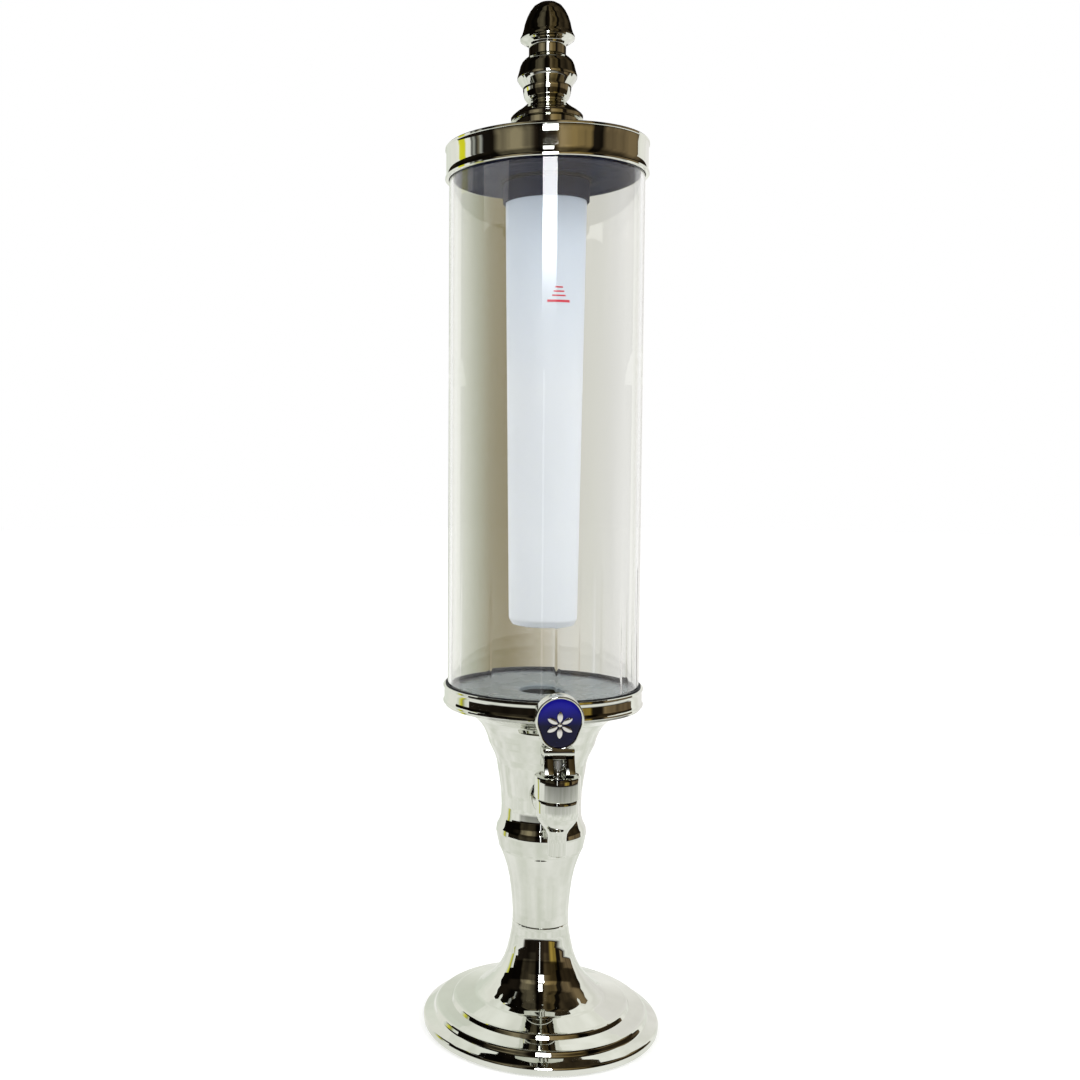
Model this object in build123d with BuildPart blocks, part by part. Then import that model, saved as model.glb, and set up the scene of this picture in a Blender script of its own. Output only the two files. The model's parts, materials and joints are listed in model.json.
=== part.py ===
from build123d import *
from math import cos, hypot, radians, sin
import os

# Beer tower: a clear tank on a chrome funnel, stem and foot, with a lid, an ice tube and a tap.
# Millimetres. The origin is on the table under the tower's axis, +Z is up, the tap looks to -Y.

# Driving sizes of the whole
tank_radius = 62.5
tank_wall = 2.5
tank_length = 350.5
base_radius = 78.0
bell_height = 70.0
stem_height = 50.5
funnel_height = 96.5
tap_clearance = 2.6

# Clearances and small common sizes
overrun = 1.0
slide_gap = 0.3
close_gap = 0.1
thread_gap = 0.05
edge_break = 0.4
bead_round_share = 0.8

# Foot pad and base foot
pad_thickness = 2.0
pad_inset = 0.5
rim_lift = 1.0
rim_wall = 3.5
rim_height = 4.5
rim_shoulder = 2.0
foot_wall = 2.5
lower_tread_width = 7.5
lower_step_height = 10.0
step_rise = 2.2
upper_tread_width = 12.0
upper_step_height = 15.2
apron_width = 15.5
bell_foot_height = 21.8
bell_waist_radius = 27.0
bell_waist_height = 37.0
neck_radius = 18.6
spigot_height = 3.0
pillar_radius = 9.0

# Base weight and its screws
weight_inset = 4.5
weight_clearance = 1.2
screw_count = 3
screw_start_angle = 90
screw_inset = 14.0
screw_radius = 2.0
screw_head_radius = 4.0
screw_head_height = 2.2
screw_grip = 5.0
screw_boss_radius = 4.5

# Tie rod
rod_radius = 4.0
rod_hole_radius = 4.4
nut_flats = 13.0
nut_height = 6.5
washer_radius = 8.5
washer_thickness = 1.6
counterbore_radius = 10.0
rod_start_lift = 0.3
rod_grip_share = 0.58

# Stem column
stem_wall = 3.0
stem_waist_out = 1.2
stem_waist_share = 0.455
stem_top_out = 8.4
stem_lip_height = 1.6
stem_lip_tangent = (1, 1)

# Funnel
funnel_wall = 3.0
bulge_step = 0.6
bulge_out = 2.1
bulge_share = 0.176
waist_radius = 26.4
waist_share = 0.281
throat_out = 3.2
throat_share = 0.596
flare_out = 7.8
flare_share = 0.806
flare_mouth_out = 7.6
flare_mouth_share = 0.908
shoulder_out = 1.7
shoulder_height = 1.85
shoulder_round = 0.6
throat_tangent = (1, 4)
shoulder_tangent = (3, 1)
mouth_wall = 3.5
land_height = 4.0
socket_wall = 5.6
socket_share = 0.727

# Tank seat
gasket_thickness = 1.5
floor_rim_height = 5.3
floor_rim_width = 3.0
floor_fall = 2.6
floor_wall = 2.5
drain_radius = 15.0
floor_spigot_depth = 2.0
seal_height = 1.8
seal_depth = 1.3
collar_height = 12.15
collar_wall = 2.2
collar_bead = 0.7
collar_bead_height = 1.9
collar_seal_width = 1.4
collar_seal_depth = 1.5
collar_seal_proud = 0.7

# Lid
cap_skirt = 16.5
cap_out = 2.0
cap_bead = 0.6
cap_bead_height = 1.8
cap_top_height = 3.7
cap_wall = 2.0
dome_mid_radius = 42.0
dome_mid_height = 9.8
dome_top_radius = 21.0
dome_top_height = 13.8
boss_height = 5.7
plug_drop = 18.0
plug_flange = 2.2
plug_wall = 2.5
socket_height = 12.0
socket_ceiling = 3.0
hub_radius = 8.0
lid_seal_height = 2.2

# Finial
finial_height = 46.5
finial_flange_radius = 23.0
finial_flange_height = 3.2
finial_foot_radius = 12.1
finial_foot_share = 0.26
finial_bulb_radius = 15.1
finial_bulb_share = 0.387
finial_band_start_share = 0.465
finial_band_radius = 18.9
finial_band_share = 0.596
finial_crown_radius = 17.0
finial_crown_share = 0.757
finial_neck_radius = 11.8
finial_neck_share = 0.882
tip_height = 28.0
tip_under_in = 2.2
tip_under_share = 0.129
tip_brim_radius = 17.4
tip_brim_share = 0.196
tip_side_in = 3.0
tip_side_share = 0.532
tip_start_tangent = (-1, 2)
tip_spigot_radius = 5.0
tip_spigot_height = 6.0
finial_screw_radius = 2.5
finial_screw_head_radius = 4.5
finial_screw_head_height = 3.0
finial_screw_grip = 9.0
finial_washer_radius = 6.5
finial_washer_thickness = 1.0

# Ice tube
ice_top_radius = 26.0
ice_taper = 3.6
ice_neck_out = 0.7
ice_neck_play = 1.0
ice_seal_width = 2.1
ice_seal_thickness = 1.8
ice_collar_out = 1.7
ice_collar_height = 12.2
ice_floor_gap = 40.2
ice_wall = 2.0
ice_corner = 8.0

# Tap body
shank_drop = 56.0
boss_clearance = 1.5
barrel_radius = 13.0
barrel_height = 9.3
barrel_start = 1.5
nozzle_radius = 5.75
nozzle_bore = 4.0
nozzle_drop = 25.0
nozzle_length = 11.0
spout_pull_shares = [0.9, 0.7]
chamber_radius = 8.5
chamber_floor = 5.0
barrel_neck_radius = 11.5
barrel_neck_height = 9.2
shank_radius = 7.0
shank_neck_radius = 8.0
shank_bore = 4.0
shank_flange_radius = 10.5
shank_flange_thickness = 3.5
shank_tail = 2.5
tap_boss_radius = 11.5
tap_boss_out = 4.6
tap_boss_in = 3.4
tap_washer_thickness = 1.5
tap_washer_radius = 10.5
tap_nut_flats = 19.0
tap_nut_height = 5.0

# Bonnet
bonnet_radius = 14.05
bonnet_deck = 4.8
bonnet_round = 1.2
stem_seal_radius = 4.4
stem_seal_height = 2.0

# Plunger and spring
plunger_radius = 2.5
cup_radius = 6.6
cup_height = 7.0
cup_lift = 0.3
cup_grip = 4.0
eye_radius = 3.2
eye_height = 7.6
spring_wire = 0.5
spring_radius = 5.6
spring_turns = 6

# Lever: it is pinned to the plunger, and its cam foot stands on the bonnet
pin_height = 5.5
pin_radius = 1.2
cam_lift = 4.0
cam_angle = 40.0
cam_steps = 8
lever_width = 19.0
lever_depth_front = 6.0
lever_depth_back = 5.0
fork_play = 0.23
neck_wall = 2.0
lever_edge = 0.6
lever_round = 1.2
ferrule_height = 4.2
ferrule_out = 0.7
handle_lean = 8.0
handle_rise = 28.4
handle_forward = 3.6
handle_thickness = 8.0
handle_edge = 0.7
handle_top_radius = 13.6
handle_top_rise = 2.7
handle_foot_radius = 8.6
handle_foot_drop = 9.4
handle_rim = 1.6
badge_depth = 1.5
badge_thickness = 1.2
boss_length = 15.0
boss_width = 6.0
boss_rise = 0.8
bead_radius = 1.7
bead_rise = 6.0

# Radii worked out from the sizes above
pad_radius = base_radius - rim_wall - pad_inset
lower_step_radius = base_radius - lower_tread_width
upper_step_radius = lower_step_radius - upper_tread_width
bell_foot_radius = upper_step_radius - apron_width
weight_radius = upper_step_radius - weight_inset
screw_circle = weight_radius - screw_inset
stem_waist_radius = neck_radius + stem_waist_out
stem_top_radius = neck_radius + stem_top_out
bulge_edge_radius = stem_top_radius + bulge_step
bulge_radius = bulge_edge_radius + bulge_out
socket_radius = bulge_edge_radius - socket_wall
throat_radius = waist_radius + throat_out
flare_radius = throat_radius + flare_out
flare_mouth_radius = flare_radius + flare_mouth_out
shoulder_radius = tank_radius + shoulder_out
collar_radius = tank_radius + collar_wall
cap_radius = tank_radius + cap_out
tap_reach = collar_radius + collar_bead + tap_clearance
tip_under_radius = tip_brim_radius - tip_under_in
tip_side_radius = tip_brim_radius - tip_side_in
ice_bottom_radius = ice_top_radius - ice_taper
ice_neck_radius = ice_top_radius + ice_neck_out
ice_collar_radius = ice_top_radius + ice_collar_out

# Heights worked out from the sizes above
bell_top = bell_height
stem_top = bell_top + stem_height
funnel_top = stem_top + funnel_height
throat_level = stem_top + throat_share * funnel_height
flare_level = stem_top + flare_share * funnel_height
flare_mouth_level = stem_top + flare_mouth_share * funnel_height
shoulder_bottom = funnel_top - shoulder_height
land_top = funnel_top + land_height
tank_bottom = land_top + gasket_thickness
tank_top = tank_bottom + tank_length
tank_bore = tank_radius - tank_wall
mouth_radius = tank_radius - mouth_wall
shank_height = funnel_top - shank_drop
floor_level = shank_height - tap_boss_radius - boss_clearance
socket_depth = socket_share * (floor_level - stem_top)
rod_grip = rod_grip_share * (floor_level - stem_top)
cap_bottom = tank_top - cap_skirt
plug_bottom = tank_top - plug_drop
plug_top = tank_top + plug_flange
plug_radius = tank_bore - 2 * slide_gap
socket_top = plug_bottom + socket_height
cap_top = tank_top + cap_top_height
ceiling_top = socket_top + socket_ceiling
boss_top = tank_top + dome_top_height + boss_height
tip_bottom = boss_top + finial_height
tip_top = tip_bottom + tip_height
weight_top = upper_step_height - weight_clearance
weight_height = weight_top - pad_thickness
nozzle_bottom = shank_height - nozzle_drop
nozzle_top = nozzle_bottom + nozzle_length
barrel_top = shank_height + barrel_start + barrel_height
chamber_top = barrel_top + barrel_neck_height
bonnet_ceiling = chamber_top + close_gap
bonnet_top = bonnet_ceiling + bonnet_deck
seat_top = shank_height - chamber_floor
seat_depth = chamber_radius - nozzle_bore
cup_bottom = seat_top - seat_depth + cup_lift
cup_top = cup_bottom + cup_height
pin_level = bonnet_top + pin_height
fork_width = 2 * (eye_radius + slide_gap)
fork_top = hypot(eye_radius, eye_height / 2) + fork_play
neck_top = fork_top + neck_wall

tower_axis = Axis.Z
tap_axis = Axis((0, -tap_reach, 0), (0, 0, 1))
tap_plane = Plane(origin=(0, -tap_reach, 0), x_dir=(1, 0, 0), z_dir=(0, -1, 0))


def finish(piece, label):
    """Names a finished piece and writes its file."""
    piece.part.label = label
    export_step(piece.part, f"parts/{label}.step")


def ring(inner, outer, bottom, height):
    """Draws the section of a plain ring round the axis of the sketch."""
    with Locations((inner, bottom)):
        Rectangle(outer - inner, height, align=(Align.MIN, Align.MIN))


def foot_section(inset):
    """Gives half the foot's section: outside with no inset, the hollow with the wall as inset."""
    low = lower_step_radius - inset
    high = upper_step_radius - inset
    top = bell_top - inset
    with BuildSketch(Plane.XZ) as section:
        with BuildLine():
            if inset == 0:
                sole = Line((0, rim_lift), (base_radius - rim_shoulder, rim_lift))
                toe = ThreePointArc(
                    sole @ 1,
                    (base_radius, rim_lift + rim_height / 2),
                    (base_radius - rim_shoulder, rim_lift + rim_height),
                )
            else:
                sole = Line((0, pad_thickness), (base_radius - rim_wall, pad_thickness))
                toe = Line(sole @ 1, (base_radius - rim_wall, rim_height - edge_break))
            low_tread = Line(toe @ 1, (low, lower_step_height - inset))
            low_rise = Line(low_tread @ 1, (low - edge_break, lower_step_height + step_rise - inset))
            high_tread = Line(low_rise @ 1, (high, upper_step_height - inset))
            high_rise = Line(
                high_tread @ 1,
                (high - edge_break, upper_step_height + step_rise - inset),
            )
            apron = Line(high_rise @ 1, (bell_foot_radius - inset, bell_foot_height - inset))
            bell = Spline(
                apron @ 1,
                (bell_waist_radius - inset, bell_waist_height - inset),
                (neck_radius - inset, top),
                tangents=[apron % 1, (0, 1)],
            )
            Polyline(bell @ 1, (0, top), sole @ 0)
        make_face()
    return section.sketch


def stem_section(inset):
    """Gives half the stem's section, which flares from the bell's neck to a thin lip."""
    with BuildSketch(Plane.XZ) as section:
        with BuildLine():
            foot = Line((0, bell_top), (neck_radius - inset, bell_top))
            flare = Spline(
                foot @ 1,
                (stem_waist_radius - inset, bell_top + stem_waist_share * stem_height),
                (stem_top_radius - inset, stem_top - stem_lip_height - inset),
                tangents=[(0, 1), stem_lip_tangent],
            )
            if inset == 0:
                Polyline(flare @ 1, (stem_top_radius, stem_top), (0, stem_top), foot @ 0)
            else:
                Polyline(flare @ 1, (0, stem_top - stem_lip_height - inset), foot @ 0)
        make_face()
    return section.sketch


def funnel_section():
    """Gives half the funnel's outer section: bulge, waist and flare, up to the tank's seat."""
    with BuildSketch(Plane.XZ) as section:
        with BuildLine():
            foot = Line((0, stem_top), (bulge_edge_radius, stem_top))
            bulge = ThreePointArc(
                foot @ 1,
                (bulge_radius, stem_top + bulge_share * funnel_height / 2),
                (bulge_edge_radius, stem_top + bulge_share * funnel_height),
            )
            waist = Spline(
                bulge @ 1,
                (waist_radius, stem_top + waist_share * funnel_height),
                (throat_radius, throat_level),
            )
            flare = Spline(
                waist @ 1,
                (flare_radius, flare_level),
                (flare_mouth_radius, flare_mouth_level),
                (shoulder_radius - shoulder_round, shoulder_bottom),
                tangents=[waist % 1, shoulder_tangent],
            )
            Polyline(
                flare @ 1,
                (shoulder_radius, shoulder_bottom + shoulder_round),
                (shoulder_radius, funnel_top),
                (tank_radius, funnel_top),
                (tank_radius, land_top),
                (0, land_top),
                foot @ 0,
            )
        make_face()
    return section.sketch


def funnel_hollow():
    """Gives half the section of the funnel's inside, which drains to the tap."""
    with BuildSketch(Plane.XZ) as section:
        with BuildLine():
            floor = Line((0, floor_level), (waist_radius - funnel_wall, floor_level))
            waist = Spline(
                floor @ 1,
                (throat_radius - funnel_wall, throat_level),
                tangents=[(0, 1), throat_tangent],
            )
            flare = Spline(
                waist @ 1,
                (flare_radius - funnel_wall, flare_level + funnel_wall / 2),
                (flare_mouth_radius - funnel_wall, flare_mouth_level + funnel_wall / 2),
                (mouth_radius, shoulder_bottom + funnel_wall),
                tangents=[waist % 1, shoulder_tangent],
            )
            Polyline(
                flare @ 1,
                (mouth_radius, land_top + overrun),
                (0, land_top + overrun),
                floor @ 0,
            )
        make_face()
    return section.sketch


def dome_section(inset, side_top):
    """Gives half the section of the dome, from the cap's side to the flat under the finial."""
    with BuildSketch(Plane.XZ) as section:
        with BuildLine():
            edge = Line((0, plug_top), (cap_radius - inset, plug_top))
            side = Line(edge @ 1, (cap_radius - inset, side_top))
            dome = ThreePointArc(
                side @ 1,
                (dome_mid_radius, tank_top + dome_mid_height - inset),
                (dome_top_radius - inset, tank_top + dome_top_height - inset),
            )
            Polyline(
                dome @ 1,
                (dome_top_radius - inset, boss_top - inset),
                (0, boss_top - inset),
                edge @ 0,
            )
        make_face()
    return section.sketch


os.makedirs("parts", exist_ok=True)

# Foot pad: a full disc of rubber stuck under the foot, the only thing that touches the table
with BuildPart() as foot_pad:
    Cylinder(pad_radius, pad_thickness, align=(Align.CENTER, Align.CENTER, Align.MIN))
    fillet(foot_pad.edges().group_by(Axis.Z)[0], radius=edge_break)
finish(foot_pad, "foot_pad")

# Base foot: a cast chromed shell with a pillar round the tie rod and a boss for each screw
with BuildPart() as base_foot:
    revolve(foot_section(0), axis=tower_axis)
    revolve(foot_section(foot_wall), axis=tower_axis, mode=Mode.SUBTRACT)
    with BuildSketch(Plane.XY):
        Circle(pad_radius + slide_gap)
    extrude(amount=pad_thickness, mode=Mode.SUBTRACT)
    with BuildSketch(Plane.XY.offset(weight_top)):
        Circle(pillar_radius)
    extrude(amount=bell_top - foot_wall - weight_top + overrun)
    with BuildSketch(Plane.XY.offset(weight_top)):
        with PolarLocations(screw_circle, screw_count, screw_start_angle):
            Circle(screw_boss_radius)
    extrude(until=Until.NEXT)
    with BuildSketch(Plane.XY.offset(bell_top)):
        Circle(neck_radius - stem_wall - slide_gap)
    extrude(amount=spigot_height)
    with BuildSketch(Plane.XY.offset(weight_top)):
        Circle(rod_hole_radius)
    extrude(amount=bell_top + spigot_height, mode=Mode.SUBTRACT)
    with BuildSketch(Plane.XY.offset(weight_top)):
        with PolarLocations(screw_circle, screw_count, screw_start_angle):
            Circle(screw_radius + thread_gap)
    extrude(amount=screw_grip, mode=Mode.SUBTRACT)
finish(base_foot, "base_foot")

# Base weight: a cast iron disc drawn up against the pillar
with BuildPart() as base_weight:
    with BuildSketch(Plane.XY.offset(pad_thickness)):
        Circle(weight_radius)
        Circle(rod_hole_radius, mode=Mode.SUBTRACT)
        with PolarLocations(screw_circle, screw_count, screw_start_angle):
            Circle(screw_radius + close_gap, mode=Mode.SUBTRACT)
    extrude(amount=weight_height)
    with BuildSketch(Plane.XY.offset(pad_thickness)):
        Circle(counterbore_radius)
    extrude(amount=rod_start_lift + nut_height + washer_thickness, mode=Mode.SUBTRACT)
    with BuildSketch(Plane.XY.offset(pad_thickness)):
        with PolarLocations(screw_circle, screw_count, screw_start_angle):
            Circle(screw_head_radius + close_gap)
    extrude(amount=screw_head_height, mode=Mode.SUBTRACT)
finish(base_weight, "base_weight")

# Base screws: cheese heads let into the weight's underside
with BuildPart() as base_screws:
    with BuildSketch(Plane.XY.offset(pad_thickness + close_gap)):
        with PolarLocations(screw_circle, screw_count, screw_start_angle):
            Circle(screw_head_radius)
    extrude(amount=screw_head_height - close_gap)
    with BuildSketch(Plane.XY.offset(pad_thickness + screw_head_height)):
        with PolarLocations(screw_circle, screw_count, screw_start_angle):
            Circle(screw_radius)
    extrude(amount=weight_height - screw_head_height + screw_grip - close_gap)
finish(base_screws, "base_screws")

# Tie rod, nut and washer: they draw foot, stem and funnel together from below
rod_bottom = pad_thickness + rod_start_lift
washer_bottom = rod_bottom + nut_height
with BuildPart() as tie_rod:
    with BuildSketch(Plane.XY.offset(rod_bottom)):
        Circle(rod_radius)
    extrude(amount=stem_top + rod_grip - rod_bottom)
    chamfer(tie_rod.edges().filter_by(GeomType.CIRCLE), length=edge_break)
finish(tie_rod, "tie_rod")

with BuildPart() as tie_rod_nut:
    with BuildSketch(Plane.XY.offset(rod_bottom)):
        RegularPolygon(nut_flats / 2, 6, major_radius=False)
        Circle(rod_radius + thread_gap, mode=Mode.SUBTRACT)
    extrude(amount=nut_height)
finish(tie_rod_nut, "tie_rod_nut")

with BuildPart() as tie_rod_washer:
    with BuildSketch(Plane.XY.offset(washer_bottom)):
        Circle(washer_radius)
        Circle(rod_hole_radius, mode=Mode.SUBTRACT)
    extrude(amount=washer_thickness)
finish(tie_rod_washer, "tie_rod_washer")

# Stem column: a hollow turning whose deck carries the funnel, with a ring that centres it
deck_ring_radius = socket_radius - slide_gap
with BuildPart() as stem_column:
    revolve(stem_section(0), axis=tower_axis)
    revolve(stem_section(stem_wall), axis=tower_axis, mode=Mode.SUBTRACT)
    with BuildSketch(Plane.XY.offset(stem_top)):
        Circle(deck_ring_radius)
        Circle(deck_ring_radius - stem_wall, mode=Mode.SUBTRACT)
    extrude(amount=spigot_height)
    with BuildSketch(Plane.XY.offset(bell_top)):
        Circle(rod_hole_radius)
    extrude(amount=stem_height, mode=Mode.SUBTRACT)
finish(stem_column, "stem_column")

# Funnel: the vessel under the tank, with a socket below and a drilled boss for the tap's shank
boss_face = waist_radius + tap_boss_out
boss_seat = waist_radius - funnel_wall - tap_boss_in
with BuildPart() as funnel:
    revolve(funnel_section(), axis=tower_axis)
    revolve(funnel_hollow(), axis=tower_axis, mode=Mode.SUBTRACT)
    with BuildSketch(Plane.XY.offset(stem_top)):
        Circle(socket_radius)
        Circle(pillar_radius, mode=Mode.SUBTRACT)
    extrude(amount=socket_depth, mode=Mode.SUBTRACT)
    with BuildSketch(Plane.XZ.offset(boss_seat)):
        with Locations((0, shank_height)):
            Circle(tap_boss_radius)
    extrude(amount=boss_face - boss_seat)
    with BuildSketch(Plane.XZ):
        with Locations((0, shank_height)):
            Circle(shank_radius + thread_gap)
    extrude(amount=boss_face + overrun, mode=Mode.SUBTRACT)
    with BuildSketch(Plane.XY.offset(stem_top)):
        Circle(rod_radius + thread_gap)
    extrude(amount=rod_grip + overrun, mode=Mode.SUBTRACT)
finish(funnel, "funnel")

# Collar ring: a chrome band with a bead at each edge, round the funnel's land and the tank's foot
collar_top = funnel_top + collar_height
collar_bore = tank_radius + close_gap
with BuildPart() as collar_ring:
    with BuildSketch(Plane.XZ):
        ring(collar_bore, collar_radius, funnel_top, collar_height)
        ring(collar_bore, collar_radius + collar_bead, funnel_top, collar_bead_height)
        ring(
            collar_bore,
            collar_radius + collar_bead,
            collar_top - collar_bead_height,
            collar_bead_height,
        )
        with Locations((collar_bore, collar_top - collar_seal_depth)):
            Rectangle(
                collar_seal_width,
                collar_seal_depth,
                align=(Align.MIN, Align.MIN),
                mode=Mode.SUBTRACT,
            )
    revolve(axis=tower_axis)
    rims = collar_ring.edges().filter_by(GeomType.CIRCLE).filter_by(
        lambda edge: edge.radius > collar_radius + collar_bead / 2
    )
    fillet(rims, radius=collar_bead * bead_round_share)
finish(collar_ring, "collar_ring")

with BuildPart() as collar_seal:
    with BuildSketch(Plane.XZ):
        ring(
            collar_bore,
            collar_bore + collar_seal_width - close_gap,
            collar_top - collar_seal_depth,
            collar_seal_depth + collar_seal_proud,
        )
    revolve(axis=tower_axis)
finish(collar_seal, "collar_seal")

# Tank seat: gasket under the wall, dished floor inside it and a seal round the floor
with BuildPart() as tube_gasket:
    with BuildSketch(Plane.XZ):
        ring(mouth_radius, tank_radius, land_top, gasket_thickness)
    revolve(axis=tower_axis)
finish(tube_gasket, "tube_gasket")

floor_radius = tank_bore - slide_gap
floor_top = tank_bottom + floor_rim_height
floor_spigot_radius = mouth_radius - slide_gap
groove_bottom = tank_bottom + (floor_rim_height - seal_height) / 2
with BuildPart() as tank_floor:
    with BuildSketch(Plane.XZ):
        with BuildLine():
            Polyline(
                (floor_spigot_radius, tank_bottom - floor_spigot_depth),
                (floor_spigot_radius, tank_bottom),
                (floor_radius, tank_bottom),
                (floor_radius, floor_top),
                (floor_radius - floor_rim_width, floor_top),
                (drain_radius, floor_top - floor_fall),
                (drain_radius, floor_top - floor_fall - floor_wall),
                (floor_spigot_radius - floor_wall, floor_top - floor_wall - edge_break),
                (floor_spigot_radius - floor_wall, tank_bottom - floor_spigot_depth),
                close=True,
            )
        make_face()
        with Locations((floor_radius, groove_bottom)):
            Rectangle(
                seal_depth,
                seal_height,
                align=(Align.MAX, Align.MIN),
                mode=Mode.SUBTRACT,
            )
    revolve(axis=tower_axis)
finish(tank_floor, "tank_floor")

with BuildPart() as floor_seal:
    with BuildSketch(Plane.XZ):
        ring(floor_radius - seal_depth, tank_bore - close_gap, groove_bottom, seal_height)
    revolve(axis=tower_axis)
finish(floor_seal, "floor_seal")

# Clear tube: the tank's wall
with BuildPart() as clear_tube:
    with BuildSketch(Plane.XY.offset(tank_bottom)):
        Circle(tank_radius)
        Circle(tank_bore, mode=Mode.SUBTRACT)
    extrude(amount=tank_length)
finish(clear_tube, "clear_tube")

# Lid cap: a spun chrome cover with two beads and a low dome under the finial
skirt_bore = tank_radius + slide_gap
with BuildPart() as lid_cap:
    with BuildSketch(Plane.XZ):
        ring(skirt_bore, cap_radius, cap_bottom, plug_top - cap_bottom)
        ring(skirt_bore, cap_radius + cap_bead, cap_bottom, cap_bead_height)
    revolve(axis=tower_axis)
    revolve(dome_section(0, cap_top), axis=tower_axis)
    revolve(dome_section(cap_wall, plug_top + edge_break), axis=tower_axis, mode=Mode.SUBTRACT)
    with BuildSketch(Plane.XZ):
        ring(cap_radius - edge_break, cap_radius + cap_bead, cap_top - cap_bead_height, cap_bead_height)
    revolve(axis=tower_axis)
    with BuildSketch(Plane.XY.offset(plug_top)):
        Circle(finial_screw_radius + close_gap)
    extrude(amount=boss_top, mode=Mode.SUBTRACT)
    rims = lid_cap.edges().filter_by(GeomType.CIRCLE).filter_by(
        lambda edge: edge.radius > cap_radius + cap_bead / 2
    )
    fillet(rims, radius=cap_bead * bead_round_share)
finish(lid_cap, "lid_cap")

# Lid plug: a moulded tray that hangs in the tank, with a socket for the ice tube and a hub
ice_socket_radius = ice_neck_radius + slide_gap
lid_seal_bottom = plug_bottom + plug_wall + lid_seal_height
hub_top = boss_top - cap_wall
with BuildPart() as lid_plug:
    with BuildSketch(Plane.XZ):
        with BuildLine():
            Polyline(
                (ice_socket_radius, plug_bottom),
                (plug_radius, plug_bottom),
                (plug_radius, tank_top),
                (tank_radius - close_gap, tank_top),
                (tank_radius - close_gap, plug_top),
                (plug_radius - seal_depth - plug_wall, plug_top),
                (plug_radius - seal_depth - plug_wall, plug_bottom + plug_wall),
                (ice_socket_radius + plug_wall, plug_bottom + plug_wall),
                (ice_socket_radius + plug_wall, ceiling_top),
                (hub_radius, ceiling_top),
                (hub_radius, hub_top),
                (finial_screw_radius + close_gap, hub_top),
                (finial_screw_radius + close_gap, socket_top),
                (ice_socket_radius, socket_top),
                close=True,
            )
        make_face()
        with Locations((plug_radius, lid_seal_bottom)):
            Rectangle(
                seal_depth,
                lid_seal_height,
                align=(Align.MAX, Align.MIN),
                mode=Mode.SUBTRACT,
            )
    revolve(axis=tower_axis)
finish(lid_plug, "lid_plug")

with BuildPart() as lid_seal:
    with BuildSketch(Plane.XZ):
        ring(plug_radius - seal_depth, tank_bore - slide_gap, lid_seal_bottom, lid_seal_height)
    revolve(axis=tower_axis)
finish(lid_seal, "lid_seal")

# Finial: a turned baluster and an acorn tip, clamped to cap and plug by one long screw
with BuildPart() as finial_base:
    with BuildSketch(Plane.XZ):
        with BuildLine():
            sole = Line((0, boss_top), (finial_flange_radius, boss_top))
            flange = Line(sole @ 1, (finial_flange_radius, boss_top + finial_flange_height))
            foot = ThreePointArc(
                flange @ 1,
                (
                    (finial_flange_radius + finial_foot_radius) / 2 - edge_break,
                    boss_top + (finial_flange_height + finial_foot_share * finial_height) / 2 - edge_break,
                ),
                (finial_foot_radius, boss_top + finial_foot_share * finial_height),
            )
            bulb = ThreePointArc(
                foot @ 1,
                (finial_bulb_radius, boss_top + finial_bulb_share * finial_height),
                (finial_bulb_radius, boss_top + finial_band_start_share * finial_height),
            )
            band = ThreePointArc(
                bulb @ 1,
                (finial_band_radius, boss_top + finial_band_share * finial_height),
                (finial_crown_radius, boss_top + finial_crown_share * finial_height),
            )
            crown = ThreePointArc(
                band @ 1,
                (
                    (finial_crown_radius + finial_neck_radius) / 2 + edge_break,
                    boss_top + (finial_crown_share + finial_neck_share) * finial_height / 2 + edge_break,
                ),
                (finial_neck_radius, boss_top + finial_neck_share * finial_height),
            )
            Polyline(crown @ 1, (finial_neck_radius, tip_bottom), (0, tip_bottom), sole @ 0)
        make_face()
    revolve(axis=tower_axis)
    with BuildSketch(Plane.XY.offset(tip_bottom)):
        Circle(tip_spigot_radius)
    extrude(amount=tip_spigot_height)
    with BuildSketch(Plane.XY.offset(boss_top)):
        Circle(finial_screw_radius + thread_gap)
    extrude(amount=finial_screw_grip + overrun, mode=Mode.SUBTRACT)
finish(finial_base, "finial_base")

with BuildPart() as finial_tip:
    with BuildSketch(Plane.XZ):
        with BuildLine():
            neck = Line((0, tip_bottom), (finial_neck_radius, tip_bottom))
            under = ThreePointArc(
                neck @ 1,
                (
                    (finial_neck_radius + tip_under_radius) / 2,
                    tip_bottom + tip_under_share * tip_height / 2 + edge_break,
                ),
                (tip_under_radius, tip_bottom + tip_under_share * tip_height),
            )
            brim = Line(under @ 1, (tip_brim_radius, tip_bottom + tip_brim_share * tip_height))
            side = Spline(
                brim @ 1,
                (tip_side_radius, tip_bottom + tip_side_share * tip_height),
                (0, tip_top),
                tangents=[tip_start_tangent, (-1, 0)],
            )
            Line(side @ 1, neck @ 0)
        make_face()
    revolve(axis=tower_axis)
    with BuildSketch(Plane.XY.offset(tip_bottom)):
        Circle(tip_spigot_radius + thread_gap)
    extrude(amount=tip_spigot_height + thread_gap, mode=Mode.SUBTRACT)
finish(finial_tip, "finial_tip")

finial_washer_top = socket_top
head_top = finial_washer_top - finial_washer_thickness
with BuildPart() as finial_screw:
    with BuildSketch(Plane.XY.offset(head_top - finial_screw_head_height)):
        Circle(finial_screw_head_radius)
    extrude(amount=finial_screw_head_height)
    with BuildSketch(Plane.XY.offset(head_top)):
        Circle(finial_screw_radius)
    extrude(amount=boss_top + finial_screw_grip - head_top)
finish(finial_screw, "finial_screw")

with BuildPart() as finial_washer:
    with BuildSketch(Plane.XY.offset(head_top)):
        Circle(finial_washer_radius)
        Circle(finial_screw_radius + close_gap, mode=Mode.SUBTRACT)
    extrude(amount=finial_washer_thickness)
finish(finial_washer, "finial_washer")

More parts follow.
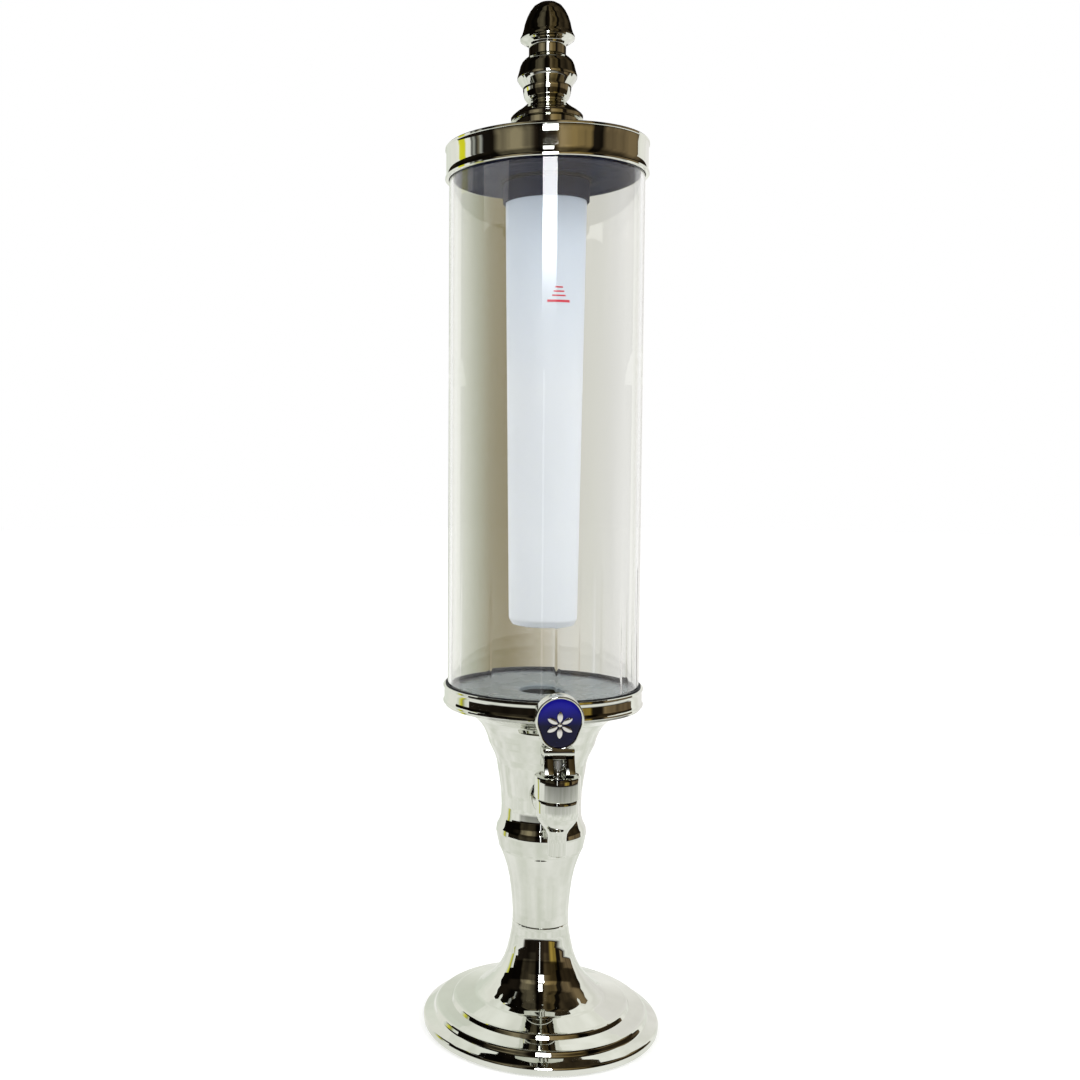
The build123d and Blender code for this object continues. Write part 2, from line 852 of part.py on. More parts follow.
# Ice tube: a frosted tube with a closed bottom, its neck turns in the plug's socket
ice_collar_top = plug_bottom - ice_seal_thickness
ice_collar_bottom = ice_collar_top - ice_collar_height
ice_bottom = floor_top + ice_floor_gap
ice_mouth = socket_top - ice_neck_play
with BuildPart() as ice_tube:
    with BuildSketch(Plane.XZ):
        with BuildLine():
            foot = Line((0, ice_bottom), (ice_bottom_radius - ice_corner, ice_bottom))
            corner = TangentArc(
                foot @ 1,
                (ice_bottom_radius, ice_bottom + ice_corner),
                tangent=(1, 0),
            )
            Polyline(
                corner @ 1,
                (ice_top_radius, ice_collar_bottom),
                (ice_collar_radius, ice_collar_bottom),
                (ice_collar_radius, ice_collar_top),
                (ice_neck_radius, ice_collar_top),
                (ice_neck_radius, ice_mouth),
                (ice_top_radius - ice_wall, ice_mouth),
                (ice_top_radius - ice_wall, ice_collar_bottom),
                (ice_bottom_radius - ice_wall, ice_bottom + ice_corner),
            )
            inside = TangentArc(
                (ice_bottom_radius - ice_wall, ice_bottom + ice_corner),
                (ice_bottom_radius - ice_corner, ice_bottom + ice_wall),
                tangent=(0, -1),
            )
            Polyline(inside @ 1, (0, ice_bottom + ice_wall), foot @ 0)
        make_face()
    revolve(axis=tower_axis)
finish(ice_tube, "ice_tube")

with BuildPart() as ice_tube_seal:
    with BuildSketch(Plane.XZ):
        ring(
            ice_neck_radius + close_gap,
            ice_neck_radius + ice_seal_width,
            ice_collar_top,
            ice_seal_thickness,
        )
    revolve(axis=tower_axis)
finish(ice_tube_seal, "ice_tube_seal")

# Tap body: one casting of barrel, shank and the flange that meets the funnel's boss
flange_face = boss_face + tap_washer_thickness
shank_end = boss_seat - tap_washer_thickness - tap_nut_height - shank_tail
with BuildPart() as tap_body:
    with BuildSketch(tap_plane):
        with BuildLine():
            underside = Line((0, nozzle_top), (nozzle_radius, nozzle_top))
            shape = Spline(
                underside @ 1,
                (barrel_radius, shank_height + barrel_start),
                tangents=[(0, 1), (0, 1)],
                tangent_scalars=spout_pull_shares,
            )
            Polyline(
                shape @ 1,
                (barrel_radius, barrel_top),
                (barrel_neck_radius, barrel_top),
                (barrel_neck_radius, chamber_top),
                (0, chamber_top),
                underside @ 0,
            )
        make_face()
    revolve(axis=tap_axis)
    with BuildSketch(Plane.XZ.offset(flange_face)):
        with Locations((0, shank_height)):
            Circle(shank_neck_radius)
    extrude(amount=tap_reach - flange_face)
    with BuildSketch(Plane.XZ.offset(flange_face)):
        with Locations((0, shank_height)):
            Circle(shank_flange_radius)
    extrude(amount=shank_flange_thickness)
    with BuildSketch(Plane.XZ.offset(shank_end)):
        with Locations((0, shank_height)):
            Circle(shank_radius)
    extrude(amount=flange_face - shank_end)
    with BuildSketch(Plane.XZ.offset(shank_end - overrun)):
        with Locations((0, shank_height)):
            Circle(shank_bore)
    extrude(amount=tap_reach - shank_end, mode=Mode.SUBTRACT)
    with BuildSketch(tap_plane):
        with BuildLine():
            Polyline(
                (0, nozzle_top - overrun),
                (nozzle_bore, nozzle_top - overrun),
                (nozzle_bore, seat_top - seat_depth),
                (chamber_radius, seat_top),
                (chamber_radius, chamber_top + overrun),
                (0, chamber_top + overrun),
                close=True,
            )
        make_face()
    revolve(axis=tap_axis, mode=Mode.SUBTRACT)
finish(tap_body, "tap_body")

# Tap nozzle: a plain spout, screwed up against the body's underside
with BuildPart() as tap_nozzle:
    with BuildSketch(tap_plane):
        ring(nozzle_bore, nozzle_radius, nozzle_bottom, nozzle_length)
    revolve(axis=tap_axis)
    rims = tap_nozzle.edges().filter_by(GeomType.CIRCLE).filter_by(
        lambda edge: edge.radius > (nozzle_bore + nozzle_radius) / 2
    )
    fillet(rims.sort_by(Axis.Z)[0], radius=edge_break)
finish(tap_nozzle, "tap_nozzle")

with BuildPart() as tap_outer_washer:
    with BuildSketch(Plane.XZ.offset(boss_face)):
        with Locations((0, shank_height)):
            Circle(tap_washer_radius)
            Circle(shank_radius + close_gap, mode=Mode.SUBTRACT)
    extrude(amount=tap_washer_thickness)
finish(tap_outer_washer, "tap_outer_washer")

with BuildPart() as tap_inner_washer:
    with BuildSketch(Plane.XZ.offset(boss_seat - tap_washer_thickness)):
        with Locations((0, shank_height)):
            Circle(tap_washer_radius)
            Circle(shank_radius + close_gap, mode=Mode.SUBTRACT)
    extrude(amount=tap_washer_thickness)
finish(tap_inner_washer, "tap_inner_washer")

with BuildPart() as tap_nut:
    with BuildSketch(Plane.XZ.offset(boss_seat - tap_washer_thickness - tap_nut_height)):
        with Locations((0, shank_height)):
            RegularPolygon(tap_nut_flats / 2, 6, major_radius=False)
            Circle(shank_radius + thread_gap, mode=Mode.SUBTRACT)
    extrude(amount=tap_nut_height)
finish(tap_nut, "tap_nut")

# Bonnet: screwed over the barrel's neck, its flat top is the floor that the lever's cam rolls on
with BuildPart() as tap_bonnet:
    with BuildSketch(tap_plane):
        with BuildLine():
            Polyline(
                (barrel_neck_radius + thread_gap, barrel_top),
                (bonnet_radius, barrel_top),
                (bonnet_radius, bonnet_top),
                (plunger_radius + close_gap, bonnet_top),
                (plunger_radius + close_gap, bonnet_ceiling + stem_seal_height),
                (stem_seal_radius, bonnet_ceiling + stem_seal_height),
                (stem_seal_radius, bonnet_ceiling),
                (barrel_neck_radius + thread_gap, bonnet_ceiling),
                close=True,
            )
        make_face()
    revolve(axis=tap_axis)
    rims = tap_bonnet.edges().filter_by(GeomType.CIRCLE).filter_by(
        lambda edge: edge.radius > bonnet_radius - thread_gap
    )
    fillet(rims.sort_by(Axis.Z)[-1], radius=bonnet_round)
    fillet(rims.sort_by(Axis.Z)[0], radius=edge_break)
finish(tap_bonnet, "tap_bonnet")

with BuildPart() as stem_seal:
    with BuildSketch(tap_plane):
        ring(
            plunger_radius + close_gap,
            stem_seal_radius - thread_gap,
            bonnet_ceiling,
            stem_seal_height,
        )
    revolve(axis=tap_axis)
finish(stem_seal, "stem_seal")

# Plunger: a stem with an eye for the lever's pin, and a rubber cup that closes the nozzle
with BuildPart() as plunger_stem:
    with BuildSketch(tap_plane):
        ring(0, plunger_radius, cup_top - cup_grip, pin_level - cup_top + cup_grip)
    revolve(axis=tap_axis)
    with BuildSketch(tap_plane):
        ring(0, eye_radius, pin_level - eye_height / 2, eye_height)
    revolve(axis=tap_axis)
    with BuildSketch(Plane.YZ.offset(-eye_radius - overrun)):
        with Locations((-tap_reach, pin_level)):
            Circle(pin_radius + thread_gap)
    extrude(amount=2 * (eye_radius + overrun), mode=Mode.SUBTRACT)
finish(plunger_stem, "plunger_stem")

with BuildPart() as seat_cup:
    with BuildSketch(tap_plane):
        with BuildLine():
            Polyline(
                (0, cup_bottom),
                (nozzle_bore, cup_bottom),
                (cup_radius, cup_bottom + cup_radius - nozzle_bore),
                (cup_radius, cup_top),
                (plunger_radius + thread_gap, cup_top),
                (plunger_radius + thread_gap, cup_top - cup_grip),
                (0, cup_top - cup_grip),
                close=True,
            )
        make_face()
    revolve(axis=tap_axis)
finish(seat_cup, "seat_cup")

# Tap spring: one unbroken coil between the cup and the bonnet's ceiling
spring_bottom = cup_top + spring_wire + thread_gap
spring_length = bonnet_ceiling - spring_wire - thread_gap - spring_bottom
spring_pitch = spring_length / spring_turns
print(f"spring gap between turns {spring_pitch - 2 * spring_wire:.2f} mm")
with BuildPart() as tap_spring:
    with BuildLine():
        coil = Helix(spring_pitch, spring_length, spring_radius, center=(0, -tap_reach, spring_bottom))
    with BuildSketch(Plane(origin=coil @ 0, z_dir=coil % 0)):
        Circle(spring_wire)
    sweep()
finish(tap_spring, "tap_spring")

# Tap lever: the foot is an involute, so each degree of tilt lifts the plunger by the same amount
cam_base = cam_lift / radians(cam_angle)
cam_stand = pin_height - close_gap


def cam_point(tilt):
    """Gives the point of the foot that bears on the bonnet at a tilt, seen from the pin."""
    reach = cam_stand + cam_base * tilt
    forward = reach * sin(tilt) + cam_base * cos(tilt)
    down = reach * cos(tilt) - cam_base * sin(tilt)
    return (-tap_reach - forward, pin_level - down)


cam_curve = [cam_point(radians(cam_angle) * n / cam_steps) for n in range(cam_steps + 1)]
neck_level = pin_level + neck_top
handle_lean_angle = radians(handle_lean)
badge_floor = handle_thickness / 2 - badge_depth
handle_plane = Plane(
    origin=(0, -tap_reach - handle_forward, pin_level + handle_rise),
    x_dir=(1, 0, 0),
    z_dir=(0, -cos(handle_lean_angle), -sin(handle_lean_angle)),
)


def handle_section(level, inset):
    """Gives the handle's egg-shaped outline at a level over its middle plane."""
    with BuildSketch(handle_plane.offset(level)) as section:
        with BuildLine():
            top = CenterArc((0, handle_top_rise), handle_top_radius - inset, 0, 180)
            foot = CenterArc((0, -handle_foot_drop), handle_foot_radius - inset, 180, 180)
            Spline(top @ 1, foot @ 0, tangents=[(0, -1), (0, -1)])
            Spline(foot @ 1, top @ 0, tangents=[(0, 1), (0, 1)])
        make_face()
    return section.sketch


with BuildPart() as lever_handle:
    extrude(handle_section(-handle_thickness / 2, 0), amount=handle_thickness)
    fillet(lever_handle.edges().filter_by(handle_plane), radius=handle_edge)
    extrude(handle_section(badge_floor, handle_rim), amount=badge_depth + overrun, mode=Mode.SUBTRACT)

with BuildPart() as tap_lever:
    with BuildSketch(Plane.YZ.offset(-lever_width / 2)):
        with BuildLine():
            heel = Line(
                (-tap_reach + lever_depth_front, pin_level - cam_stand),
                cam_curve[0],
            )
            cam = Spline(*cam_curve)
            Polyline(
                cam @ 1,
                (-tap_reach - lever_depth_front, pin_level + fork_top),
                (-tap_reach - lever_depth_front, neck_level),
                (-tap_reach + lever_depth_back, neck_level),
                (-tap_reach + lever_depth_back, pin_level),
                heel @ 0,
            )
        make_face()
    extrude(amount=lever_width)
    chamfer(tap_lever.edges().filter_by(Plane.YZ), length=lever_edge)
    with BuildSketch(Plane.YZ.offset(-fork_width / 2)):
        with Locations((-tap_reach, pin_level + fork_top)):
            Rectangle(
                2 * (lever_depth_front + pin_height + cam_lift),
                2 * (pin_height + fork_top),
                align=(Align.CENTER, Align.MAX),
            )
    extrude(amount=fork_width, mode=Mode.SUBTRACT)
    with BuildSketch(Plane.XY.offset(neck_level)):
        with Locations((0, -tap_reach - (lever_depth_front - lever_depth_back) / 2)):
            RectangleRounded(
                lever_width + ferrule_out,
                lever_depth_front + lever_depth_back + ferrule_out,
                lever_round + ferrule_out,
            )
    extrude(amount=ferrule_height)
    fillet(tap_lever.edges().filter_by(Plane.XY).group_by(Axis.Z)[-1], radius=lever_edge)
    add(lever_handle.part)
    with BuildSketch(Plane.YZ.offset(-lever_width)):
        with Locations((-tap_reach, pin_level)):
            Circle(pin_radius + thread_gap)
    extrude(amount=2 * lever_width, mode=Mode.SUBTRACT)
finish(tap_lever, "tap_lever")

with BuildPart() as lever_pin:
    with BuildSketch(Plane.YZ.offset(-lever_width / 2)):
        with Locations((-tap_reach, pin_level)):
            Circle(pin_radius)
    extrude(amount=lever_width)
finish(lever_pin, "lever_pin")

with BuildPart() as lever_badge:
    extrude(handle_section(badge_floor, handle_rim + close_gap), amount=badge_thickness)
finish(lever_badge, "lever_badge")

# Badge boss: a plain silver lens with a bead over it
with BuildPart() as badge_boss:
    with BuildSketch(handle_plane.offset(badge_floor + badge_thickness)):
        Ellipse(boss_length / 2, boss_width / 2)
        with Locations((0, bead_rise)):
            Circle(bead_radius)
    extrude(amount=boss_rise)
finish(badge_boss, "badge_boss")
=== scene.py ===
import json
import math

import bpy
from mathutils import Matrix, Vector


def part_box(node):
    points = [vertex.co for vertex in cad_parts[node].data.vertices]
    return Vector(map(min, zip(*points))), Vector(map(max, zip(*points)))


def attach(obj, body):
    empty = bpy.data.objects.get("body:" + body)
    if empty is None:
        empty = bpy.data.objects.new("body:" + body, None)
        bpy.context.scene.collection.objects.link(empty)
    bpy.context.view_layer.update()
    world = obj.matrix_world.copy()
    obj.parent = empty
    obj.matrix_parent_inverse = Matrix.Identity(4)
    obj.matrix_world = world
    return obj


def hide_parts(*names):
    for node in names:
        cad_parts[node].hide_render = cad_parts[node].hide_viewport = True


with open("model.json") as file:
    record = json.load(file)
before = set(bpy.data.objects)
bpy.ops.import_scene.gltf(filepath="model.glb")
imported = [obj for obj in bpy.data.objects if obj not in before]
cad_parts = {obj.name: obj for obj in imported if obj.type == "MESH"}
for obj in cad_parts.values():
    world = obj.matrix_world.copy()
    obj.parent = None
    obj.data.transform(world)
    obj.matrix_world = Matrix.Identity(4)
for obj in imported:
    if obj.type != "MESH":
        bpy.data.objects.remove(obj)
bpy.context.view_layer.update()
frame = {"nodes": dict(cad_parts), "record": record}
nodes = frame["nodes"]

# Working unit, the tap's upright axis, and how finely pieces are turned
mm = 0.001
tap_y = -68 * mm
fine_sides = 64
small_sides = 48
tiny_sides = 24
round_steps = 2
smooth_angle = math.radians(40)
weld_gap = 0.002 * mm

# Camera: in front of the tap and a little to the left of it
camera_distance = 0.8066
camera_height = 0.3771
camera_turn = math.radians(8.2)
camera_heading = camera_turn - math.radians(7.164)
camera_pitch = math.radians(3.793)
lens_pixels = 1223.0
picture_width = 1080
principal_x = 390
sensor = 36.0

forward = Vector((
    math.sin(camera_heading) * math.cos(camera_pitch),
    math.cos(camera_heading) * math.cos(camera_pitch),
    -math.sin(camera_pitch),
))
lens = bpy.data.cameras.new("camera")
lens.sensor_width = sensor
lens.lens = lens_pixels / picture_width * sensor
lens.shift_x = 0.5 - principal_x / picture_width
lens.clip_start = 0.05
camera = bpy.data.objects.new("camera", lens)
camera.location = (
    -camera_distance * math.sin(camera_turn),
    -camera_distance * math.cos(camera_turn),
    camera_height,
)
camera.rotation_euler = forward.to_track_quat("-Z", "Y").to_euler()
bpy.context.scene.collection.objects.link(camera)
bpy.context.scene.camera = camera


# Materials
def new_material(name):
    """Starts a material and returns it with its nodes, links and shader."""
    made = bpy.data.materials.new(name)
    made.use_nodes = True
    tree = made.node_tree
    return made, tree.nodes, tree.links, tree.nodes["Principled BSDF"]


def object_noise(parts, links, scale, detail=4.0, stretch=(1, 1, 1)):
    """Adds noise in the piece's own coordinates and returns its value socket."""
    place = parts.new("ShaderNodeTexCoord")
    turn_node = parts.new("ShaderNodeMapping")
    turn_node.inputs["Scale"].default_value = stretch
    noise = parts.new("ShaderNodeTexNoise")
    noise.inputs["Scale"].default_value = scale
    noise.inputs["Detail"].default_value = detail
    links.new(place.outputs["Object"], turn_node.inputs["Vector"])
    links.new(turn_node.outputs["Vector"], noise.inputs["Vector"])
    return noise.outputs["Fac"]


def spread(parts, links, value, low, high, start=0.35, stop=0.65):
    """Carries a noise value over to the range from low to high."""
    node = parts.new("ShaderNodeMapRange")
    node.inputs["From Min"].default_value = start
    node.inputs["From Max"].default_value = stop
    node.inputs["To Min"].default_value = low
    node.inputs["To Max"].default_value = high
    links.new(value, node.inputs["Value"])
    return node.outputs["Result"]


def tinted(parts, links, value, first, second):
    """Blends two colours by a value and returns the colour."""
    mix = parts.new("ShaderNodeMix")
    mix.data_type = "RGBA"
    mix.inputs["A"].default_value = (*first, 1)
    mix.inputs["B"].default_value = (*second, 1)
    links.new(value, mix.inputs["Factor"])
    return mix.outputs["Result"]


def raised(parts, links, shader, value, strength, distance):
    """Gives the shader a bump of a real depth."""
    bump = parts.new("ShaderNodeBump")
    bump.inputs["Strength"].default_value = strength
    bump.inputs["Distance"].default_value = distance
    links.new(value, bump.inputs["Height"])
    links.new(bump.outputs["Normal"], shader.inputs["Normal"])


def multiplied(parts, links, first, second):
    """Multiplies two colours and returns the colour."""
    mix = parts.new("ShaderNodeMix")
    mix.data_type = "RGBA"
    mix.blend_type = "MULTIPLY"
    mix.inputs["Factor"].default_value = 1
    links.new(first, mix.inputs["A"])
    links.new(second, mix.inputs["B"])
    return mix.outputs["Result"]


def mixed(parts, links, share, first, second):
    """Blends two colour sockets by a share and returns the colour."""
    mix = parts.new("ShaderNodeMix")
    mix.data_type = "RGBA"
    links.new(share, mix.inputs["Factor"])
    links.new(first, mix.inputs["A"])
    links.new(second, mix.inputs["B"])
    return mix.outputs["Result"]


def object_place(parts, links):
    """Splits the piece's own coordinates and returns the node with X, Y and Z."""
    place = parts.new("ShaderNodeTexCoord")
    split = parts.new("ShaderNodeSeparateXYZ")
    links.new(place.outputs["Object"], split.inputs[0])
    return split


def chrome_finish(name, first, second, smooth, hazy):
    """Gives a polished metal with a faint haze and the slight waves of spun sheet."""
    made, parts, links, shader = new_material(name)
    shader.inputs["Metallic"].default_value = 1.0
    haze = object_noise(parts, links, 38, 5)
    tint = tinted(parts, links, spread(parts, links, haze, 0, 1), first, second)
    links.new(tint, shader.inputs["Base Color"])
    links.new(spread(parts, links, haze, smooth, hazy), shader.inputs["Roughness"])
    ripple = object_noise(parts, links, 26, 2)
    raised(parts, links, shader, ripple, 0.03, 0.0008)
    return made


def clear_finish():
    """Gives the tank's clear wall, with faint streaks along its length."""
    made, parts, links, shader = new_material("clear_acrylic")
    shader.inputs["Transmission Weight"].default_value = 1.0
    shader.inputs["IOR"].default_value = 1.49
    streak = object_noise(parts, links, 30, 3, (1, 1, 0.12))
    links.new(
        tinted(parts, links, spread(parts, links, streak, 0, 1), (0.965, 0.965, 0.95), (0.985, 0.985, 0.975)),
        shader.inputs["Base Color"],
    )
    links.new(spread(parts, links, streak, 0.0, 0.03), shader.inputs["Roughness"])
    return made


def frosted_finish():
    """Gives the ice tube's frosted white, which painted shade and a painted reflection of the slate plug turn
    bluer and darker towards its neck.
    """
    made, parts, links, shader = new_material("frosted_acrylic")
    cloud = object_noise(parts, links, 18, 3, (1, 1, 0.4))
    body = tinted(parts, links, spread(parts, links, cloud, 0, 1), (0.72, 0.76, 0.81), (0.76, 0.80, 0.85))
    height = object_place(parts, links).outputs["Z"]
    # Painted shade and painted reflection: darker and bluer up towards the neck, where the lid shades the
    # tube and the plug shows in it
    rise = spread(parts, links, height, 0, 1, 420 * mm, 545 * mm)
    painted_neck_shade = tinted(parts, links, rise, (1, 1, 1), (0.76, 0.83, 0.92))
    links.new(multiplied(parts, links, body, painted_neck_shade), shader.inputs["Base Color"])
    links.new(spread(parts, links, cloud, 0.28, 0.36), shader.inputs["Roughness"])
    shader.inputs["Subsurface Weight"].default_value = 0.1
    shader.inputs["Subsurface Radius"].default_value = (0.004, 0.004, 0.005)
    raised(parts, links, shader, object_noise(parts, links, 900, 2), 0.1, 0.0001)
    return made


def plastic_finish(name, first, second, smooth, rough, gloss=0.1):
    """Gives a moulded surface, clouded in colour and gloss, with a fine grain."""
    made, parts, links, shader = new_material(name)
    cloud = object_noise(parts, links, 60, 4)
    tint = tinted(parts, links, spread(parts, links, cloud, 0, 1), first, second)
    links.new(tint, shader.inputs["Base Color"])
    links.new(spread(parts, links, cloud, smooth, rough), shader.inputs["Roughness"])
    shader.inputs["Specular IOR Level"].default_value = gloss
    raised(parts, links, shader, object_noise(parts, links, 1400, 2), 0.12, 0.0001)
    return made


def dish_finish():
    """Gives the tank's floor a pale face inside a dark rim; the pale face is a painted reflection of the tank
    on the dark slate.
    """
    made, parts, links, shader = new_material("dish_slate_painted_reflection")
    place = parts.new("ShaderNodeTexCoord")
    flat = parts.new("ShaderNodeMapping")
    flat.inputs["Scale"].default_value = (1, 1, 0)
    reach = parts.new("ShaderNodeVectorMath")
    reach.operation = "LENGTH"
    links.new(place.outputs["Object"], flat.inputs["Vector"])
    links.new(flat.outputs["Vector"], reach.inputs[0])
    rim = spread(parts, links, reach.outputs["Value"], 0, 1, 52 * mm, 57 * mm)
    cloud = spread(parts, links, object_noise(parts, links, 45, 4), 0, 1)
    # Painted reflection: the pale face stands for the tank mirrored in the slate floor
    face = tinted(parts, links, cloud, (0.19, 0.23, 0.25), (0.27, 0.31, 0.33))
    edge = tinted(parts, links, cloud, (0.016, 0.020, 0.034), (0.028, 0.034, 0.052))
    links.new(mixed(parts, links, rim, face, edge), shader.inputs["Base Color"])
    links.new(spread(parts, links, cloud, 0.22, 0.32, 0, 1), shader.inputs["Roughness"])
    shader.inputs["Specular IOR Level"].default_value = 0.3
    return made


def enamel_finish():
    """Gives the badge's blue enamel with painted light: brighter blue near its top and darker towards its
    lower edge.
    """
    made, parts, links, shader = new_material("blue_enamel")
    cloud = object_noise(parts, links, 90, 3)
    height = object_place(parts, links).outputs["Z"]
    # Painted light: the blue brightens near the top and falls nearly to black at the lower edge, standing for
    # the handle's lighting and reflections
    rise = spread(parts, links, height, 0, 1, 217 * mm, 229 * mm)
    painted_light_enamel = tinted(parts, links, rise, (0.003, 0.003, 0.028), (0.008, 0.007, 0.27))
    pooled = tinted(parts, links, spread(parts, links, cloud, 0, 1), (0.8, 0.8, 0.8), (1, 1, 1))
    links.new(multiplied(parts, links, painted_light_enamel, pooled), shader.inputs["Base Color"])
    links.new(spread(parts, links, cloud, 0.10, 0.18), shader.inputs["Roughness"])
    shader.inputs["Specular IOR Level"].default_value = 0.2
    return made


def iron_finish():
    """Gives the weight's rough painted iron."""
    made, parts, links, shader = new_material("cast_iron")
    grain = object_noise(parts, links, 420, 6)
    links.new(
        tinted(parts, links, spread(parts, links, grain, 0, 1), (0.05, 0.05, 0.05), (0.10, 0.10, 0.10)),
        shader.inputs["Base Color"],
    )
    shader.inputs["Metallic"].default_value = 0.6
    links.new(spread(parts, links, grain, 0.5, 0.75), shader.inputs["Roughness"])
    raised(parts, links, shader, grain, 0.4, 0.0004)
    return made


# Two colours, then the smoothest and the roughest spot
metals = {
    "chrome": ((0.68, 0.69, 0.64), (0.74, 0.75, 0.70), 0.015, 0.035),
    "silver_trim": ((0.70, 0.68, 0.67), (0.80, 0.78, 0.77), 0.10, 0.20),
    "steel": ((0.55, 0.55, 0.56), (0.66, 0.66, 0.67), 0.22, 0.36),
}
# The same for moulded pieces; the plug's gloss comes last
moulded = {
    "slate_plastic": ((0.040, 0.045, 0.075), (0.056, 0.062, 0.098), 0.34, 0.44),
    "plug_slate": ((0.020, 0.023, 0.044), (0.030, 0.034, 0.062), 0.30, 0.40, 0.002),
    "black_rubber": ((0.012, 0.012, 0.014), (0.026, 0.026, 0.030), 0.45, 0.62),
    "red_print": ((0.62, 0.02, 0.05), (0.70, 0.04, 0.07), 0.3, 0.4),
}
finishes = {name: chrome_finish(name, *look) for name, look in metals.items()}
finishes.update({name: plastic_finish(name, *look) for name, look in moulded.items()})
finishes["clear_acrylic"] = clear_finish()
finishes["frosted_acrylic"] = frosted_finish()
finishes["dish_slate_painted_reflection"] = dish_finish()
finishes["blue_enamel"] = enamel_finish()
finishes["cast_iron"] = iron_finish()

# CAD nodes that stay get the finish of their slot
slot_of = {row["node"]: row["material_slot"] for row in frame["record"]["subparts"]}
for node_name, node in nodes.items():
    node.data.materials.clear()
    node.data.materials.append(finishes[slot_of[node_name]])


# Modelling steps
def deselect():
    """Lets go of every object before the next step."""
    bpy.ops.object.select_all(action="DESELECT")


def settle(piece):
    """Puts a piece's place, turn and size in its mesh."""
    deselect()
    piece.select_set(True)
    bpy.context.view_layer.objects.active = piece
    bpy.ops.object.transform_apply(location=True, rotation=True, scale=True)


def finish_piece(piece, name, finish, body, stands_for=()):
    """Settles a finished piece and gives it its name, finish and body."""
    settle(piece)
    bpy.ops.object.shade_smooth_by_angle(angle=smooth_angle)
    piece.name = name
    piece.data.name = name
    piece.data.materials.clear()
    piece.data.materials.append(finishes[finish])
    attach(piece, body)
    if stands_for:
        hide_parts(*stands_for)


def smooth_out(piece):
    """Subdivides a piece and applies it."""
    round_off = piece.modifiers.new("round_off", "SUBSURF")
    round_off.levels = round_steps
    round_off.render_levels = round_steps
    bpy.ops.object.modifier_apply(modifier=round_off.name)


def turn(rings, sides=fine_sides, centre=(0, 0), joined=False):
    """Draws a circle up ring by ring: each ring is a radius, a height and how sharp it stays."""
    deselect()
    radius, height, sharp = rings[0]
    bpy.ops.mesh.primitive_circle_add(
        vertices=sides, radius=radius, location=(centre[0], centre[1], height), fill_type="NOTHING"
    )
    piece = bpy.context.object
    bpy.ops.object.mode_set(mode="EDIT")
    bpy.ops.mesh.select_all(action="SELECT")
    if sharp:
        bpy.ops.transform.edge_crease(value=sharp)
    for radius_next, height_next, sharp in rings[1:]:
        bpy.ops.mesh.extrude_edges_move(TRANSFORM_OT_translate={"value": (0, 0, height_next - height)})
        size = radius_next / radius
        bpy.ops.transform.resize(
            value=(size, size, 1), center_override=(centre[0], centre[1], height_next)
        )
        if sharp:
            bpy.ops.transform.edge_crease(value=sharp)
        radius, height = radius_next, height_next
    if joined:
        bpy.ops.mesh.select_all(action="SELECT")
        bpy.ops.mesh.remove_doubles(threshold=weld_gap)
    else:
        close_ends()
    bpy.ops.mesh.select_all(action="SELECT")
    bpy.ops.mesh.normals_make_consistent(inside=False)
    bpy.ops.object.mode_set(mode="OBJECT")
    smooth_out(piece)
    return piece


def close_ends():
    """Closes each open end of the piece in edit mode with a fan to its middle."""
    bpy.ops.mesh.select_all(action="DESELECT")
    bpy.ops.mesh.select_non_manifold(extend=False)
    bpy.ops.mesh.edge_face_add()
    bpy.ops.mesh.poke()


def ring_of(outer, inner, low, high, sharp):
    """Turns a plain ring or tube."""
    rings = [
        (inner, low, sharp),
        (outer, low, sharp),
        (outer, high, sharp),
        (inner, high, sharp),
        (inner, low, sharp),
    ]
    return turn(rings, joined=True)


def laid_out(rings):
    """Carries (radius, height, sharp) rings over from millimetres to metres."""
    return [(radius * mm, height * mm, sharp) for radius, height, sharp in rings]


# Foot, stem and funnel: spun and plated, all drawn from the table up
foot_rings = [
    (74.3, 2.05, 0.6), (74.3, 1.0, 0.6), (76.6, 1.0, 0.4), (77.7, 1.4, 0.3), (78.0, 2.2, 0.3),
    (78.0, 5.0, 0.7), (77.4, 6.0, 0.8), (73.8, 8.1, 0), (71.0, 9.6, 0.9),
    (69.7, 11.9, 0.8), (69.0, 12.5, 0.2), (64.0, 13.8, 0), (59.0, 14.9, 0.9),
    (57.7, 17.1, 0.8), (57.0, 17.6, 0.2),
    (50.0, 19.7, 0), (43.0, 21.8, 0), (39.0, 24.4, 0), (35.0, 28.0, 0), (30.8, 32.2, 0),
    (27.0, 37.4, 0), (24.2, 43.0, 0), (22.1, 49.0, 0), (20.5, 56.0, 0), (19.2, 63.0, 0),
    (18.6, 68.4, 0), (18.6, 69.5, 0.5), (18.1, 70.0, 0.5),
]
foot = turn(laid_out(foot_rings))
finish_piece(foot, "foot_shell", "chrome", "stand", ["base_foot"])

stem_rings = [
    (18.1, 70.0, 0.5), (18.6, 70.5, 0.5), (18.5, 76.0, 0), (18.9, 82.9, 0), (19.7, 91.0, 0),
    (20.8, 99.0, 0), (22.3, 106.0, 0), (24.4, 112.6, 0), (26.2, 117.2, 0), (27.0, 119.0, 0.5),
    (27.0, 120.5, 0.7),
]
stem = turn(laid_out(stem_rings))
finish_piece(stem, "stem_shell", "chrome", "stand", ["stem_column"])

